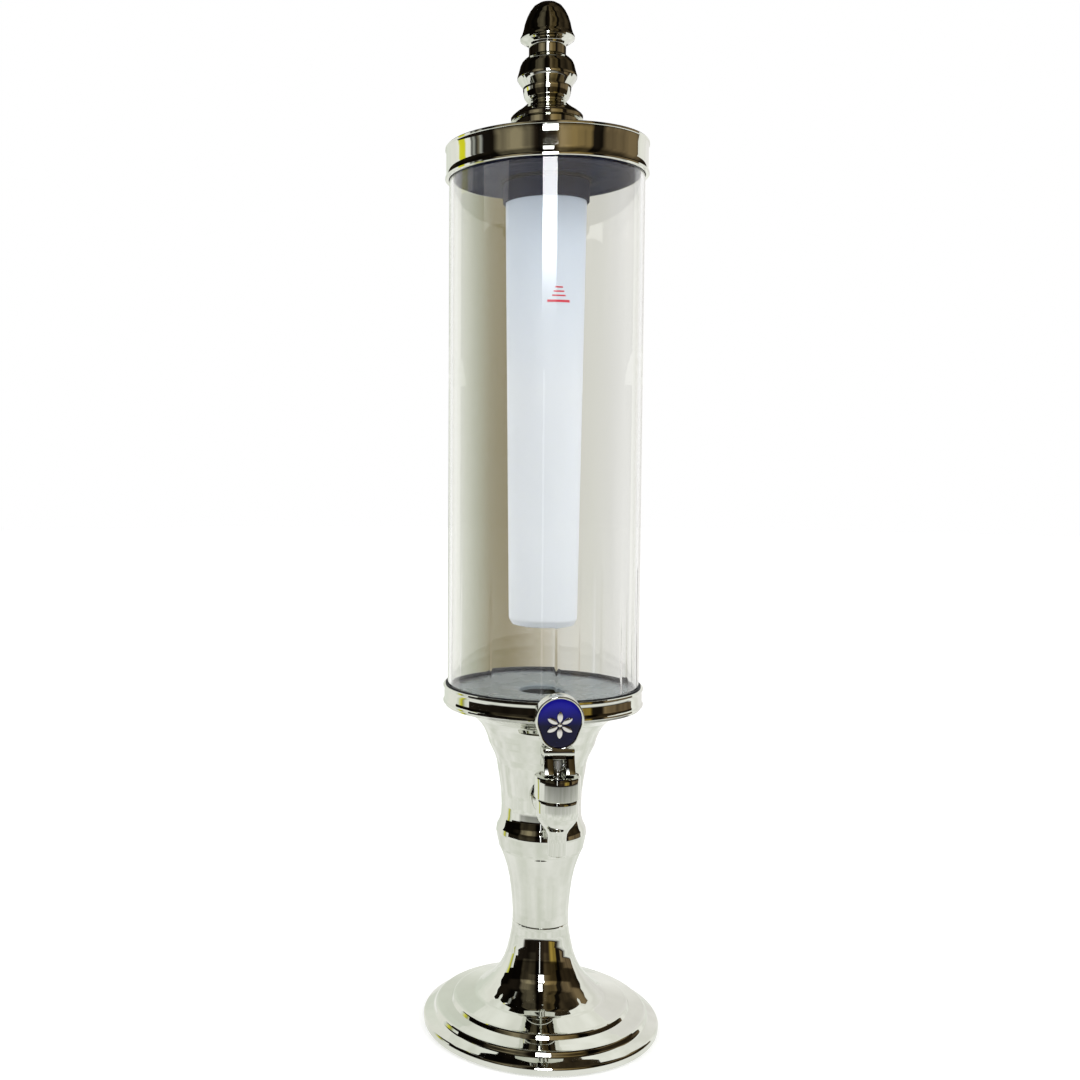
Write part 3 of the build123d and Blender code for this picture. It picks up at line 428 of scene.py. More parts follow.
funnel_rings = [
    (26.6, 120.5, 0.6), (27.9, 120.8, 0.4), (28.3, 123.0, 0), (29.2, 127.0, 0), (29.9, 130.8, 0),
    (29.3, 134.4, 0), (27.6, 137.8, 0), (26.6, 141.4, 0), (26.3, 148.0, 0), (26.7, 157.7, 0),
    (27.8, 166.0, 0), (28.9, 172.4, 0), (29.7, 178.0, 0), (31.0, 182.2, 0), (33.0, 186.2, 0),
    (34.9, 190.4, 0), (36.2, 195.0, 0), (38.2, 199.6, 0), (40.8, 203.6, 0), (44.6, 207.6, 0),
    (50.5, 211.2, 0), (57.5, 213.9, 0), (62.6, 215.2, 0.2), (64.0, 215.6, 0.4), (64.1, 217.0, 0.7),
    (62.5, 217.0, 0.7), (62.5, 221.0, 0.7), (59.0, 221.0, 0.7), (59.0, 218.6, 0.3), (54.0, 216.6, 0),
    (47.5, 213.0, 0), (42.5, 209.4, 0), (38.0, 204.6, 0), (34.5, 199.2, 0), (31.0, 191.0, 0),
    (28.5, 183.0, 0), (26.6, 176.0, 0), (24.5, 163.0, 0), (23.4, 152.0, 0), (23.2, 148.4, 0.4),
    (22.6, 148.0, 0.4),
]
funnel = turn(laid_out(funnel_rings))
finish_piece(funnel, "funnel_shell", "chrome", "stand", ["funnel"])

# Collar and its seal
collar_rings = [
    (62.6, 217.05, 0.7), (64.9, 217.05, 0.3), (65.4, 217.5, 0), (65.4, 218.5, 0), (64.9, 218.95, 0.3),
    (64.7, 219.2, 0.3), (64.7, 226.9, 0.3), (64.9, 227.2, 0.3), (65.4, 227.6, 0), (65.4, 228.7, 0),
    (64.9, 229.15, 0.3), (64.1, 229.2, 0.6), (64.1, 227.75, 0.6), (62.6, 227.75, 0.6),
    (62.6, 217.05, 0.7),
]
collar = turn(laid_out(collar_rings), joined=True)
finish_piece(collar, "collar_band", "chrome", "stand", ["collar_ring"])


def soft_ring(node, name, body, inner):
    """Turns a rubber ring over a CAD ring, from the given inner radius to the node's own size."""
    low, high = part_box(node)
    piece = ring_of(high.x, inner * mm, low.z, high.z, 0.5)
    finish_piece(piece, name, "black_rubber", body, [node])


soft_ring("collar_seal", "collar_lip", "stand", 62.6)
soft_ring("tube_gasket", "tube_gasket_ring", "stand", 59.0)
soft_ring("floor_seal", "floor_seal_ring", "stand", 58.4)
soft_ring("lid_seal", "lid_seal_ring", "lid", 58.15)
soft_ring("ice_tube_seal", "ice_seal_ring", "ice_tube", 26.8)

# Tank: wall and dished floor
tank_low, tank_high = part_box("clear_tube")
tank = ring_of(62.5 * mm, 60.0 * mm, tank_low.z, tank_high.z, 0.9)
finish_piece(tank, "tank_wall", "clear_acrylic", "stand", ["clear_tube"])
# Clear acrylic lets the lamps through to what stands inside it
tank.visible_shadow = False

dish_rings = [
    (58.7, 220.5, 0.6), (58.7, 222.5, 0.6), (59.7, 222.5, 0.6), (59.7, 224.2, 0.7), (58.4, 224.2, 0.7),
    (58.4, 226.05, 0.7), (59.7, 226.05, 0.7), (59.7, 227.4, 0.4), (59.2, 227.8, 0.4), (56.9, 227.8, 0.4),
    (55.4, 227.3, 0.2), (36.0, 226.2, 0), (15.8, 225.25, 0.2), (15.0, 224.8, 0.3), (15.0, 222.7, 0.6),
    (56.2, 224.9, 0.5), (56.2, 220.5, 0.6), (58.7, 220.5, 0.6),
]
dish = turn(laid_out(dish_rings), joined=True)
finish_piece(dish, "floor_dish", "dish_slate_painted_reflection", "stand", ["tank_floor"])

# Lid: cap, plug and finial
cap_rings = [
    (62.85, 575.2, 0.6), (62.85, 556.5, 0.6), (64.7, 556.5, 0.3), (65.1, 556.9, 0), (65.1, 557.9, 0),
    (64.7, 558.35, 0.3), (64.5, 558.7, 0.3), (64.5, 574.5, 0.3), (64.6, 574.9, 0.3), (65.1, 575.2, 0),
    (65.1, 576.2, 0), (64.6, 576.7, 0.3), (63.2, 577.1, 0.2), (58.0, 578.6, 0), (50.0, 580.7, 0),
    (42.0, 582.7, 0), (33.0, 584.8, 0), (25.5, 586.2, 0), (21.6, 586.8, 0.3), (21.0, 587.3, 0.4),
    (21.0, 592.0, 0.5), (20.5, 592.5, 0.5),
]
cap = turn(laid_out(cap_rings))
finish_piece(cap, "cap_cover", "chrome", "lid", ["lid_cap"])

plug_rings = [
    (27.0, 567.0, 0.6), (27.0, 555.4, 0.4), (27.4, 555.0, 0.4), (33.0, 555.0, 0.3), (34.2, 555.5, 0.3),
    (52.0, 555.5, 0.3), (53.2, 555.0, 0.3), (57.6, 555.0, 0.3), (59.1, 555.9, 0), (59.4, 557.4, 0.2),
    (59.4, 559.7, 0.7), (58.1, 559.7, 0.7), (58.1, 561.9, 0.7), (59.4, 561.9, 0.7), (59.4, 573.0, 0.6),
    (62.4, 573.0, 0.6), (62.4, 575.1, 0.6),
]
plug = turn(laid_out(plug_rings))
finish_piece(plug, "plug_tray", "plug_slate", "lid", ["lid_plug"])

finial_rings = [
    (22.3, 592.5, 0.5), (23.0, 592.9, 0.3), (23.0, 595.2, 0.4), (22.2, 596.2, 0), (19.6, 598.4, 0),
    (16.8, 600.2, 0), (14.2, 602.3, 0), (12.4, 604.0, 0), (12.0, 604.9, 0.5), (13.0, 605.6, 0.2),
    (14.2, 607.2, 0), (15.0, 610.0, 0), (15.4, 612.8, 0), (15.3, 613.9, 0.4), (16.4, 615.4, 0),
    (18.1, 617.8, 0), (19.0, 619.4, 0.2), (19.0, 620.8, 0.2), (18.4, 622.8, 0), (17.8, 625.0, 0),
    (17.2, 627.4, 0), (16.2, 629.5, 0), (14.6, 631.2, 0), (12.6, 632.8, 0.2), (11.8, 633.6, 0.3),
    (11.8, 638.6, 0.4), (11.3, 639.0, 0.4),
]
finial = turn(laid_out(finial_rings), sides=small_sides)
finish_piece(finial, "finial_turning", "chrome", "lid", ["finial_base"])

acorn_rings = [
    (11.3, 639.0, 0.4), (11.8, 639.4, 0.3), (12.5, 641.0, 0), (14.2, 642.4, 0), (16.5, 643.3, 0.2),
    (17.4, 644.0, 0.6), (17.2, 645.2, 0.2), (16.2, 647.2, 0), (15.3, 650.2, 0), (14.6, 653.6, 0),
    (13.2, 657.6, 0), (11.4, 661.2, 0), (9.0, 664.4, 0), (5.8, 666.4, 0), (2.2, 667.0, 0),
]
acorn = turn(laid_out(acorn_rings), sides=small_sides)
finish_piece(acorn, "finial_acorn", "chrome", "lid", ["finial_tip"])

# Ice tube and its level mark
sleeve_radius_low = 22.4 * mm
sleeve_radius_high = 26.0 * mm
sleeve_taper_low = 278 * mm
sleeve_taper_high = 541 * mm
sleeve_rings = [
    (12.0, 270.0, 0), (18.0, 270.5, 0), (20.3, 273.0, 0), (20.4, 277.0, 0), (24.0, 541.0, 0.2),
    (24.0, 566.0, 0.7), (26.0, 566.0, 0.7), (26.0, 541.0, 0.2), (22.4, 278.0, 0), (22.3, 273.0, 0),
    (20.2, 269.2, 0), (15.4, 268.0, 0), (9.0, 268.0, 0),
]
sleeve = turn(laid_out(sleeve_rings))
finish_piece(sleeve, "ice_sleeve", "frosted_acrylic", "ice_tube", ["ice_tube"])

neck_rings = [
    (26.05, 541.0, 0.6), (27.3, 541.0, 0.5), (27.7, 541.4, 0.4), (27.7, 552.8, 0.5), (27.3, 553.2, 0.5),
    (26.05, 553.2, 0.6), (26.05, 541.0, 0.6),
]
neck_band = turn(laid_out(neck_rings), joined=True)
finish_piece(neck_band, "ice_neck_band", "plug_slate", "ice_tube", ["ice_tube"])


def sleeve_radius(height):
    """Gives the ice tube's outer radius at a height, in metres."""
    share = (height - sleeve_taper_low) / (sleeve_taper_high - sleeve_taper_low)
    return sleeve_radius_low + (sleeve_radius_high - sleeve_radius_low) * share


mark_heading = math.radians(11.5)
mark_height = 476 * mm
print_thick = 0.06 * mm
print_lift = 0.02 * mm


def printed_patch(name, height, width, tall):
    """Lays a thin print on the ice tube: a grid wrapped round it, with a little thickness."""
    deselect()
    bpy.ops.mesh.primitive_grid_add(x_subdivisions=16, y_subdivisions=4, size=1)
    patch = bpy.context.object
    for point in patch.data.vertices:
        up = height + point.co.y * tall
        reach = sleeve_radius(up) + print_lift
        turned = mark_heading + point.co.x * width / reach
        point.co = (reach * math.sin(turned), -reach * math.cos(turned), up)
    film = patch.modifiers.new("film", "SOLIDIFY")
    film.thickness = print_thick
    film.offset = 1
    bpy.ops.object.modifier_apply(modifier=film.name)
    finish_piece(patch, name, "red_print", "ice_tube")


printed_patch("level_bar", mark_height, 15 * mm, 1.5 * mm)
for number, lift in enumerate((3.4, 6.0, 8.6)):
    tick_width = (9 - 2 * number) * mm
    printed_patch(f"level_tick_{number + 1}", mark_height + lift * mm, tick_width, 0.9 * mm)

# Tap: casting, bonnet, seat and washers
tap_centre = (0, tap_y)
barrel_rings = [
    (4.0, 150.0, 0.4), (4.0, 136.5, 0.4), (4.4, 136.0, 0.4), (5.3, 136.0, 0.4), (5.75, 136.4, 0.3),
    (5.75, 146.6, 0.1), (6.1, 149.2, 0), (7.4, 151.8, 0), (9.8, 154.8, 0), (11.9, 157.8, 0),
    (12.9, 160.6, 0), (13.0, 162.8, 0.3), (13.0, 171.3, 0.4), (12.6, 171.8, 0.5),
]
barrel = turn(laid_out(barrel_rings), sides=small_sides, centre=tap_centre)
finish_piece(barrel, "tap_barrel", "chrome", "stand", ["tap_body", "tap_nozzle"])

bonnet_rings = [
    (11.6, 171.8, 0.5), (13.6, 171.8, 0.4), (14.05, 172.2, 0.3), (14.05, 184.4, 0.1), (13.8, 185.4, 0),
    (12.8, 185.9, 0.2), (6.0, 185.9, 0.1), (2.65, 185.9, 0.6), (2.65, 184.5, 0.5),
]
bonnet = turn(laid_out(bonnet_rings), sides=small_sides, centre=tap_centre)
finish_piece(bonnet, "bonnet_cap", "chrome", "stand", ["tap_bonnet"])

shank_height = 161 * mm


def turn_lying(rings, joined=False):
    """Turns a piece about the shank's axis; heights are distances from the tower's axis."""
    piece = turn(laid_out(rings), sides=small_sides, joined=joined)
    settle(piece)
    piece.rotation_euler = (math.pi / 2, 0, 0)
    piece.location = (0, 0, shank_height)
    return piece


shank_rings = [
    (7.0, 11.0, 0.5), (7.0, 32.4, 0.6), (10.2, 32.5, 0.5), (10.5, 32.8, 0.4), (10.5, 35.5, 0.4),
    (10.1, 36.0, 0.3), (8.4, 36.4, 0.1), (8.0, 37.6, 0), (8.0, 46.0, 0), (8.0, 60.0, 0.5),
]
shank = turn_lying(shank_rings)
finish_piece(shank, "tap_shank", "chrome", "stand", ["tap_body"])

seat_rings = [(11.5, 23.0, 0.5), (11.5, 30.4, 0.3), (11.0, 31.0, 0.5)]
seat = turn_lying(seat_rings)
finish_piece(seat, "tap_seat", "chrome", "stand", ["funnel"])

washer_bore = 7.1
washer_radius = 10.5
for node_name, start in (("tap_outer_washer", 31.0), ("tap_inner_washer", 18.5)):
    stop = start + 1.5
    washer_rings = [
        (washer_bore, start, 0.6), (washer_radius, start, 0.6), (washer_radius, stop, 0.6),
        (washer_bore, stop, 0.6), (washer_bore, start, 0.6),
    ]
    washer = turn_lying(washer_rings, joined=True)
    finish_piece(washer, node_name + "_ring", "black_rubber", "stand", [node_name])

# Plunger's top
eye_rings = [
    (2.5, 160.0, 0.4), (2.5, 187.2, 0.4), (3.2, 187.6, 0.6), (3.2, 194.8, 0.4), (2.8, 195.2, 0.5),
]
eye = turn(laid_out(eye_rings), sides=tiny_sides, centre=tap_centre)
finish_piece(eye, "plunger_eye", "steel", "plunger", ["plunger_stem"])


# Lever: fork with its cam foot, ferrule, handle, badge and pin
pin_level = 191.4 * mm
cam_lift = 4.0 * mm
cam_angle = math.radians(40)
cam_base = cam_lift / cam_angle
cam_stand = 5.4 * mm


def plate(outline, depth):
    """Draws an outline point by point, fills it and thickens it along +Z."""
    deselect()
    bpy.ops.mesh.primitive_plane_add(size=1)
    piece = bpy.context.object
    bpy.ops.object.mode_set(mode="EDIT")
    bpy.ops.mesh.select_all(action="SELECT")
    bpy.ops.mesh.merge(type="CENTER")
    bpy.ops.transform.translate(value=(outline[0][0], outline[0][1], 0))
    at = outline[0]
    for point in outline[1:]:
        step = (point[0] - at[0], point[1] - at[1], 0)
        bpy.ops.mesh.extrude_vertices_move(TRANSFORM_OT_translate={"value": step})
        at = point
    bpy.ops.mesh.select_all(action="SELECT")
    bpy.ops.mesh.edge_face_add()
    bpy.ops.mesh.extrude_region_move(TRANSFORM_OT_translate={"value": (0, 0, depth)})
    bpy.ops.mesh.select_all(action="SELECT")
    bpy.ops.mesh.normals_make_consistent(inside=False)
    bpy.ops.object.mode_set(mode="OBJECT")
    return piece


def soften(piece, width, segments=3, angle=30):
    """Rounds a piece's edges and applies it."""
    rounding = piece.modifiers.new("rounding", "BEVEL")
    rounding.width = width
    rounding.segments = segments
    rounding.limit_method = "ANGLE"
    rounding.angle_limit = math.radians(angle)
    bpy.context.view_layer.objects.active = piece
    bpy.ops.object.modifier_apply(modifier=rounding.name)


def cam_point(tilt):
    """Gives the foot's point that bears on the bonnet at a tilt, forward and up from the pin."""
    reach = cam_stand + cam_base * tilt
    ahead = reach * math.sin(tilt) + cam_base * math.cos(tilt)
    down = reach * math.cos(tilt) - cam_base * math.sin(tilt)
    return (ahead, -down)


cam_steps = 12
cheek_outline = [(-6 * mm, -cam_stand)]
cheek_outline += [cam_point(cam_angle * n / cam_steps) for n in range(cam_steps + 1)]
cheek_outline += [(6 * mm, 5.2 * mm), (6 * mm, 7.2 * mm), (-5 * mm, 7.2 * mm), (-5 * mm, 0)]


def upright_plate(outline, thick, offset):
    """Makes a plate in the lever's own plane: its X is forward (-Y) and its Y is up."""
    piece = plate(outline, thick)
    piece.rotation_euler = (math.pi / 2, 0, -math.pi / 2)
    piece.location = (offset, tap_y, pin_level)
    return piece


for side, offset in (("left", -3.5 * mm), ("right", 9.5 * mm)):
    cheek = upright_plate(cheek_outline, 6 * mm, offset)
    soften(cheek, 0.5 * mm)
    finish_piece(cheek, f"fork_{side}", "chrome", "lever", ["tap_lever"])


def box_outline(wide, front, back, corner, steps=6):
    """Gives a rounded rectangle from -wide/2 to wide/2 and from -front to back."""
    points = []
    for cx, cy, start in (
        (wide / 2 - corner, back - corner, 0),
        (-wide / 2 + corner, back - corner, 90),
        (-wide / 2 + corner, -front + corner, 180),
        (wide / 2 - corner, -front + corner, 270),
    ):
        for n in range(steps + 1):
            a = math.radians(start + 90 * n / steps)
            points.append((cx + corner * math.cos(a), cy + corner * math.sin(a)))
    return points


bridge = plate(box_outline(19 * mm, 6 * mm, 5 * mm, 1.0 * mm), 2.2 * mm)
bridge.location = (0, tap_y, pin_level + 5.1 * mm)
finish_piece(bridge, "fork_bridge", "chrome", "lever", ["tap_lever"])

ferrule = plate(box_outline(19.7 * mm, 6.35 * mm, 5.35 * mm, 1.9 * mm), 4.2 * mm)
ferrule.location = (0, tap_y, pin_level + 7.2 * mm)
soften(ferrule, 0.7 * mm)
finish_piece(ferrule, "lever_ferrule", "chrome", "lever", ["tap_lever"])

handle_top = 14.8
handle_foot = 12.4
handle_rise = 1.5
handle_drop = 5.6


def egg_outline(inset, steps=24):
    """Gives the handle's outline: a wide arc above, a narrow one below and straight sides."""
    lean = math.asin((handle_top - handle_foot) / (handle_rise + handle_drop))
    points = []
    for radius, height, start, stop in (
        (handle_top - inset, handle_rise, -lean, math.pi + lean),
        (handle_foot - inset, -handle_drop, math.pi + lean, 2 * math.pi - lean),
    ):
        for n in range(steps + 1):
            a = start + (stop - start) * n / steps
            points.append((radius * math.cos(a) * mm, (height + radius * math.sin(a)) * mm))
    return points


handle_lean = math.radians(8)
handle_place = Vector((0, tap_y - 3.6 * mm, pin_level + 28.4 * mm))
handle_normal = Vector((0, -math.cos(handle_lean), -math.sin(handle_lean)))


def on_handle(piece, height):
    """Sets a plate on the handle's face, its +Z towards the user and its +Y up."""
    piece.rotation_euler = (math.pi / 2 + handle_lean, 0, 0)
    piece.location = handle_place + handle_normal * height


def choose_faces(piece, wanted):
    """Selects the faces that are wanted and leaves the piece open in edit mode."""
    bpy.ops.object.mode_set(mode="EDIT")
    bpy.ops.mesh.select_mode(type="FACE")
    bpy.ops.mesh.select_all(action="DESELECT")
    bpy.ops.object.mode_set(mode="OBJECT")
    for face in piece.data.polygons:
        face.select = wanted(face)
    bpy.ops.object.mode_set(mode="EDIT")


def looks_forward(face):
    """Tells whether a plate's face is its front."""
    return face.normal.z > 0.9


handle_thick = 8 * mm
badge_depth = 1.5 * mm
handle = plate(egg_outline(0), handle_thick)
choose_faces(handle, looks_forward)
bpy.ops.mesh.inset(thickness=1.6 * mm)
bpy.ops.mesh.extrude_region_move(TRANSFORM_OT_translate={"value": (0, 0, -badge_depth)})
bpy.ops.mesh.select_mode(type="VERT")
bpy.ops.object.mode_set(mode="OBJECT")
soften(handle, 0.7 * mm, 4, 50)
on_handle(handle, -handle_thick / 2)
finish_piece(handle, "lever_handle", "chrome", "lever", ["tap_lever"])

badge = plate(egg_outline(1.7), 0.9 * mm)
choose_faces(badge, looks_forward)
for inset, rise in ((0.6, 0.14), (1.6, 0.12), (2.4, 0.04)):
    bpy.ops.mesh.inset(thickness=inset * mm)
    bpy.ops.transform.translate(value=(0, 0, rise * mm))
bpy.ops.mesh.select_mode(type="VERT")
bpy.ops.object.mode_set(mode="OBJECT")
on_handle(badge, handle_thick / 2 - badge_depth)
finish_piece(badge, "badge_plate", "blue_enamel", "lever", ["lever_badge"])


def lens_outline(long, wide, steps=16):
    """Gives a lens: two bows that meet in points."""
    bow = []
    for n in range(steps + 1):
        a = math.pi * n / steps
        bow.append((long / 2 * math.cos(a), wide / 2 * math.sin(a) ** 1.4))
    return bow + [(-x, -y) for x, y in bow[1:steps]]


petal_count = 6
petal_long = 7.0 * mm
petal_wide = 3.3 * mm
petal_reach = 5.1 * mm
badge_middle = -1.5 * mm
badge_face = handle_thick / 2 - 0.35 * mm


def petal_outline(turned):
    """Gives a lens-shaped petal that points away from the badge's middle."""
    across = math.cos(turned)
    along = math.sin(turned)
    return [
        ((petal_reach + x) * across - y * along, (petal_reach + x) * along + y * across + badge_middle)
        for x, y in lens_outline(petal_long, petal_wide)
    ]


for number in range(petal_count):
    petal = plate(petal_outline(math.pi / 2 + 2 * math.pi * number / petal_count), 0.8 * mm)
    soften(petal, 0.3 * mm, 2)
    on_handle(petal, badge_face)
    finish_piece(petal, f"badge_petal_{number + 1}", "silver_trim", "lever", ["badge_boss"])

bead_rings = [(1.5, 0.0, 0.4), (1.5, 0.5, 0), (1.1, 0.9, 0), (0.4, 1.05, 0)]
bead = turn(laid_out(bead_rings), sides=tiny_sides)
on_handle(bead, badge_face)
bead.location += Vector((0, -math.sin(handle_lean), math.cos(handle_lean))) * badge_middle
finish_piece(bead, "badge_bead", "silver_trim", "lever", ["badge_boss"])

pin_rings = [(0.8, -9.75, 0), (1.2, -9.5, 0.2), (1.2, 9.5, 0.2), (0.8, 9.75, 0)]
pin = turn(laid_out(pin_rings), sides=tiny_sides)
settle(pin)
pin.rotation_euler = (0, math.pi / 2, 0)
pin.location = (0, tap_y, pin_level)
finish_piece(pin, "fork_pin", "steel", "lever", ["lever_pin"])

# Foot pad with a rounded edge
pad_rings = [(73.0, 0.0, 0.3), (73.8, 0.3, 0), (74.0, 1.0, 0), (74.0, 2.0, 0.6)]
pad = turn(laid_out(pad_rings))
finish_piece(pad, "rubber_pad", "black_rubber", "stand", ["foot_pad"])


# Studio: white floor, pale screens and a dark room with windows for the chrome, and two lamps
screen_radius = 0.5
screen_top = 0.71
room_radius = 1.05
room_height = 2.2


def glow_finish(name):
    """Starts a material that only glows and returns it with its nodes, links and glow."""
    made, parts, links, shader = new_material(name)
    glow = parts.new("ShaderNodeEmission")
    links.new(glow.outputs[0], parts["Material Output"].inputs["Surface"])
    parts.remove(shader)
    return made, parts, links, glow


def seen_straight(parts, links):
    """Gives 1 to rays from the camera, and to those that metal or glass sends on."""
    path = parts.new("ShaderNodeLightPath")
    total = path.outputs["Is Camera Ray"]
    for kind in ("Is Glossy Ray", "Is Transmission Ray"):
        larger = parts.new("ShaderNodeMath")
        larger.operation = "MAXIMUM"
        links.new(total, larger.inputs[0])
        links.new(path.outputs[kind], larger.inputs[1])
        total = larger.outputs[0]
    return total


def floor_finish():
    """Gives a white floor that keeps the shadow and has a look of its own in chrome."""
    made, parts, links, shader = new_material("studio_floor")
    shader.inputs["Base Color"].default_value = (0.9, 0.9, 0.9, 1)
    shader.inputs["Roughness"].default_value = 0.9
    glow = parts.new("ShaderNodeEmission")
    links.new(spread(parts, links, seen_straight(parts, links), 0, 0.3, 0, 1), glow.inputs["Strength"])
    both = parts.new("ShaderNodeAddShader")
    links.new(shader.outputs[0], both.inputs[0])
    links.new(glow.outputs[0], both.inputs[1])
    mirrored = parts.new("ShaderNodeEmission")
    links.new(mirrored_floor(parts, links), mirrored.inputs["Color"])
    path = parts.new("ShaderNodeLightPath")
    in_metal = parts.new("ShaderNodeMath")
    in_metal.operation = "SUBTRACT"
    in_metal.use_clamp = True
    links.new(path.outputs["Is Glossy Ray"], in_metal.inputs[0])
    links.new(path.outputs["Is Transmission Ray"], in_metal.inputs[1])
    choice = parts.new("ShaderNodeMixShader")
    links.new(in_metal.outputs[0], choice.inputs["Fac"])
    links.new(both.outputs[0], choice.inputs[1])
    links.new(mirrored.outputs[0], choice.inputs[2])
    links.new(choice.outputs[0], parts["Material Output"].inputs["Surface"])
    return made


def mirrored_floor(parts, links):
    """Gives the floor's look in chrome: pale near the tower, brown further out on the room's side."""
    place = parts.new("ShaderNodeTexCoord")
    reach = parts.new("ShaderNodeVectorMath")
    reach.operation = "LENGTH"
    links.new(place.outputs["Object"], reach.inputs[0])
    far = spread(parts, links, reach.outputs["Value"], 0, 1, 0.55, 0.85)
    cloud = object_noise(parts, links, 7, 3)
    near = tinted(parts, links, spread(parts, links, cloud, 0, 1), (0.80, 0.82, 0.75), (1.0, 1.0, 0.97))
    return mixed(parts, links, far, near, heading_colour(parts, links, floor_bands))


def heading_round(parts, links):
    """Gives the direction round the tower as a share of a turn, 0.5 towards the camera."""
    split = object_place(parts, links)
    back = parts.new("ShaderNodeMath")
    back.operation = "MULTIPLY"
    back.inputs[1].default_value = -1
    links.new(split.outputs["Y"], back.inputs[0])
    angle = parts.new("ShaderNodeMath")
    angle.operation = "ARCTAN2"
    links.new(split.outputs["X"], angle.inputs[0])
    links.new(back.outputs[0], angle.inputs[1])
    share = parts.new("ShaderNodeMath")
    share.operation = "MULTIPLY_ADD"
    share.inputs[1].default_value = 1 / (2 * math.pi)
    share.inputs[2].default_value = 0.5 + camera_turn / (2 * math.pi)
    links.new(angle.outputs[0], share.inputs[0])
    once_round = parts.new("ShaderNodeMath")
    once_round.operation = "FRACT"
    links.new(share.outputs[0], once_round.inputs[0])
    return once_round.outputs[0]


def ramp_of(parts, links, value, stops):
    """Colours a value from 0 to 1 by (share, colour) stops."""
    ramp = parts.new("ShaderNodeValToRGB")
    marks = ramp.color_ramp.elements
    while len(marks) > 1:
        marks.remove(marks[-1])
    for number, (share, colour) in enumerate(stops):
        mark = marks[0] if number == 0 else marks.new(share)
        mark.position = share
        mark.color = (*colour, 1)
    links.new(value, ramp.inputs["Fac"])
    return ramp.outputs["Color"]


def heading_colour(parts, links, bands):
    """Colours a stage object by (degrees from the camera's side, colour) bands round the tower."""
    stops = [(0.5 + degrees / 360, colour) for degrees, colour in bands]
    return ramp_of(parts, links, heading_round(parts, links), stops)


def show_in_reflections(wall, see_through=False):
    """Hides a stage object from all but the rays that metal or, see-through, glass sends on."""
    wall.visible_camera = False
    wall.visible_diffuse = False
    wall.visible_shadow = False
    wall.visible_glossy = not see_through
    wall.visible_transmission = see_through


def stage_wall(name, finish, radius, low, high, start, stop, top_radius=None, see_through=False):
    """Stands a curved wall round the tower between two headings, in degrees from the camera."""
    deselect()
    bpy.ops.mesh.primitive_cone_add(
        vertices=180, radius1=radius, radius2=top_radius or radius, depth=high - low,
        end_fill_type="NOTHING", location=(0, 0, (low + high) / 2),
    )
    wall = bpy.context.object
    bpy.ops.object.transform_apply(location=True, rotation=True, scale=True)

    def outside(face):
        """Tells whether a face lies past the wall's two headings."""
        heading = math.degrees(math.atan2(face.center.x, -face.center.y) + camera_turn)
        return not start < (heading - start) % 360 + start < stop

    choose_faces(wall, outside)
    bpy.ops.mesh.delete(type="FACE")
    bpy.ops.mesh.select_mode(type="VERT")
    bpy.ops.object.mode_set(mode="OBJECT")
    wall.name = name
    wall.data.materials.append(finish)
    show_in_reflections(wall, see_through)


def room_finish():
    """Gives the dark room: upright bands, patches and a brightness that falls with height."""
    made, parts, links, glow = glow_finish("studio_room")
    height = object_place(parts, links).outputs["Z"]
    rise = spread(parts, links, height, 0, 1, 0.08, 0.30)
    skirting = heading_colour(parts, links, skirting_bands)
    bands = mixed(parts, links, rise, skirting, heading_colour(parts, links, room_bands))
    cloud = object_noise(parts, links, 2.2, 3, (1, 1, 0.4))
    patches = tinted(parts, links, spread(parts, links, cloud, 0, 1), (0.45, 0.42, 0.40), (1.7, 1.6, 1.4))
    patched = multiplied(parts, links, bands, patches)
    dim = ramp_of(parts, links, spread(parts, links, height, 0, 1, 0, room_height), room_dimming)
    links.new(multiplied(parts, links, patched, dim), glow.inputs["Color"])
    return made


# Colours of the studio, and the bands made of them: degrees from the camera's side and colour
black_brown = (0.010, 0.008, 0.006)
deep_brown = (0.030, 0.022, 0.015)
olive_gold = (0.20, 0.15, 0.07)
grey_brown = (0.19, 0.17, 0.12)
warm_brown = (0.13, 0.10, 0.06)
amber = (0.30, 0.22, 0.05)
room_bands = [
    (-180, deep_brown), (-90, black_brown), (-60, black_brown), (-54, grey_brown), (-18, grey_brown),
    (-12, deep_brown), (-8, black_brown), (10, deep_brown), (16, (0.30, 0.24, 0.14)), (28, olive_gold),
    (48, olive_gold), (52, black_brown), (62, black_brown), (68, warm_brown), (124, warm_brown),
    (134, deep_brown), (180, deep_brown),
]
# The room's lowest part, which the collar mirrors; it blends into the room above it
skirting_bands = [
    (-180, deep_brown), (-92, black_brown), (-16, black_brown), (-8, deep_brown), (30, deep_brown),
    (37, amber), (54, amber), (57, black_brown), (70, black_brown), (74, (0.22, 0.17, 0.10)),
    (112, (0.20, 0.15, 0.09)), (124, deep_brown), (180, deep_brown),
]
# How bright the room is, by shares of its height
full_light = (1, 1, 1)
dusk = (0.18, 0.17, 0.16)
low_light = (0.3, 0.3, 0.3)
room_dimming = [
    (0, full_light), (0.055, full_light), (0.085, dusk), (0.26, dusk), (0.31, full_light),
    (0.42, full_light), (0.52, low_light), (1, low_light),
]
off_white = (0.95, 0.95, 0.92)
floor_bands = [
    (-180, off_white), (-66, off_white), (-58, deep_brown), (-8, black_brown),
    (40, deep_brown), (112, deep_brown), (122, off_white), (180, off_white),
]
deselect()
bpy.ops.mesh.primitive_circle_add(vertices=96, radius=6, fill_type="NGON", location=(0, 0, 0))
floor = bpy.context.object
floor.name = "studio_floor"
floor.data.materials.append(floor_finish())

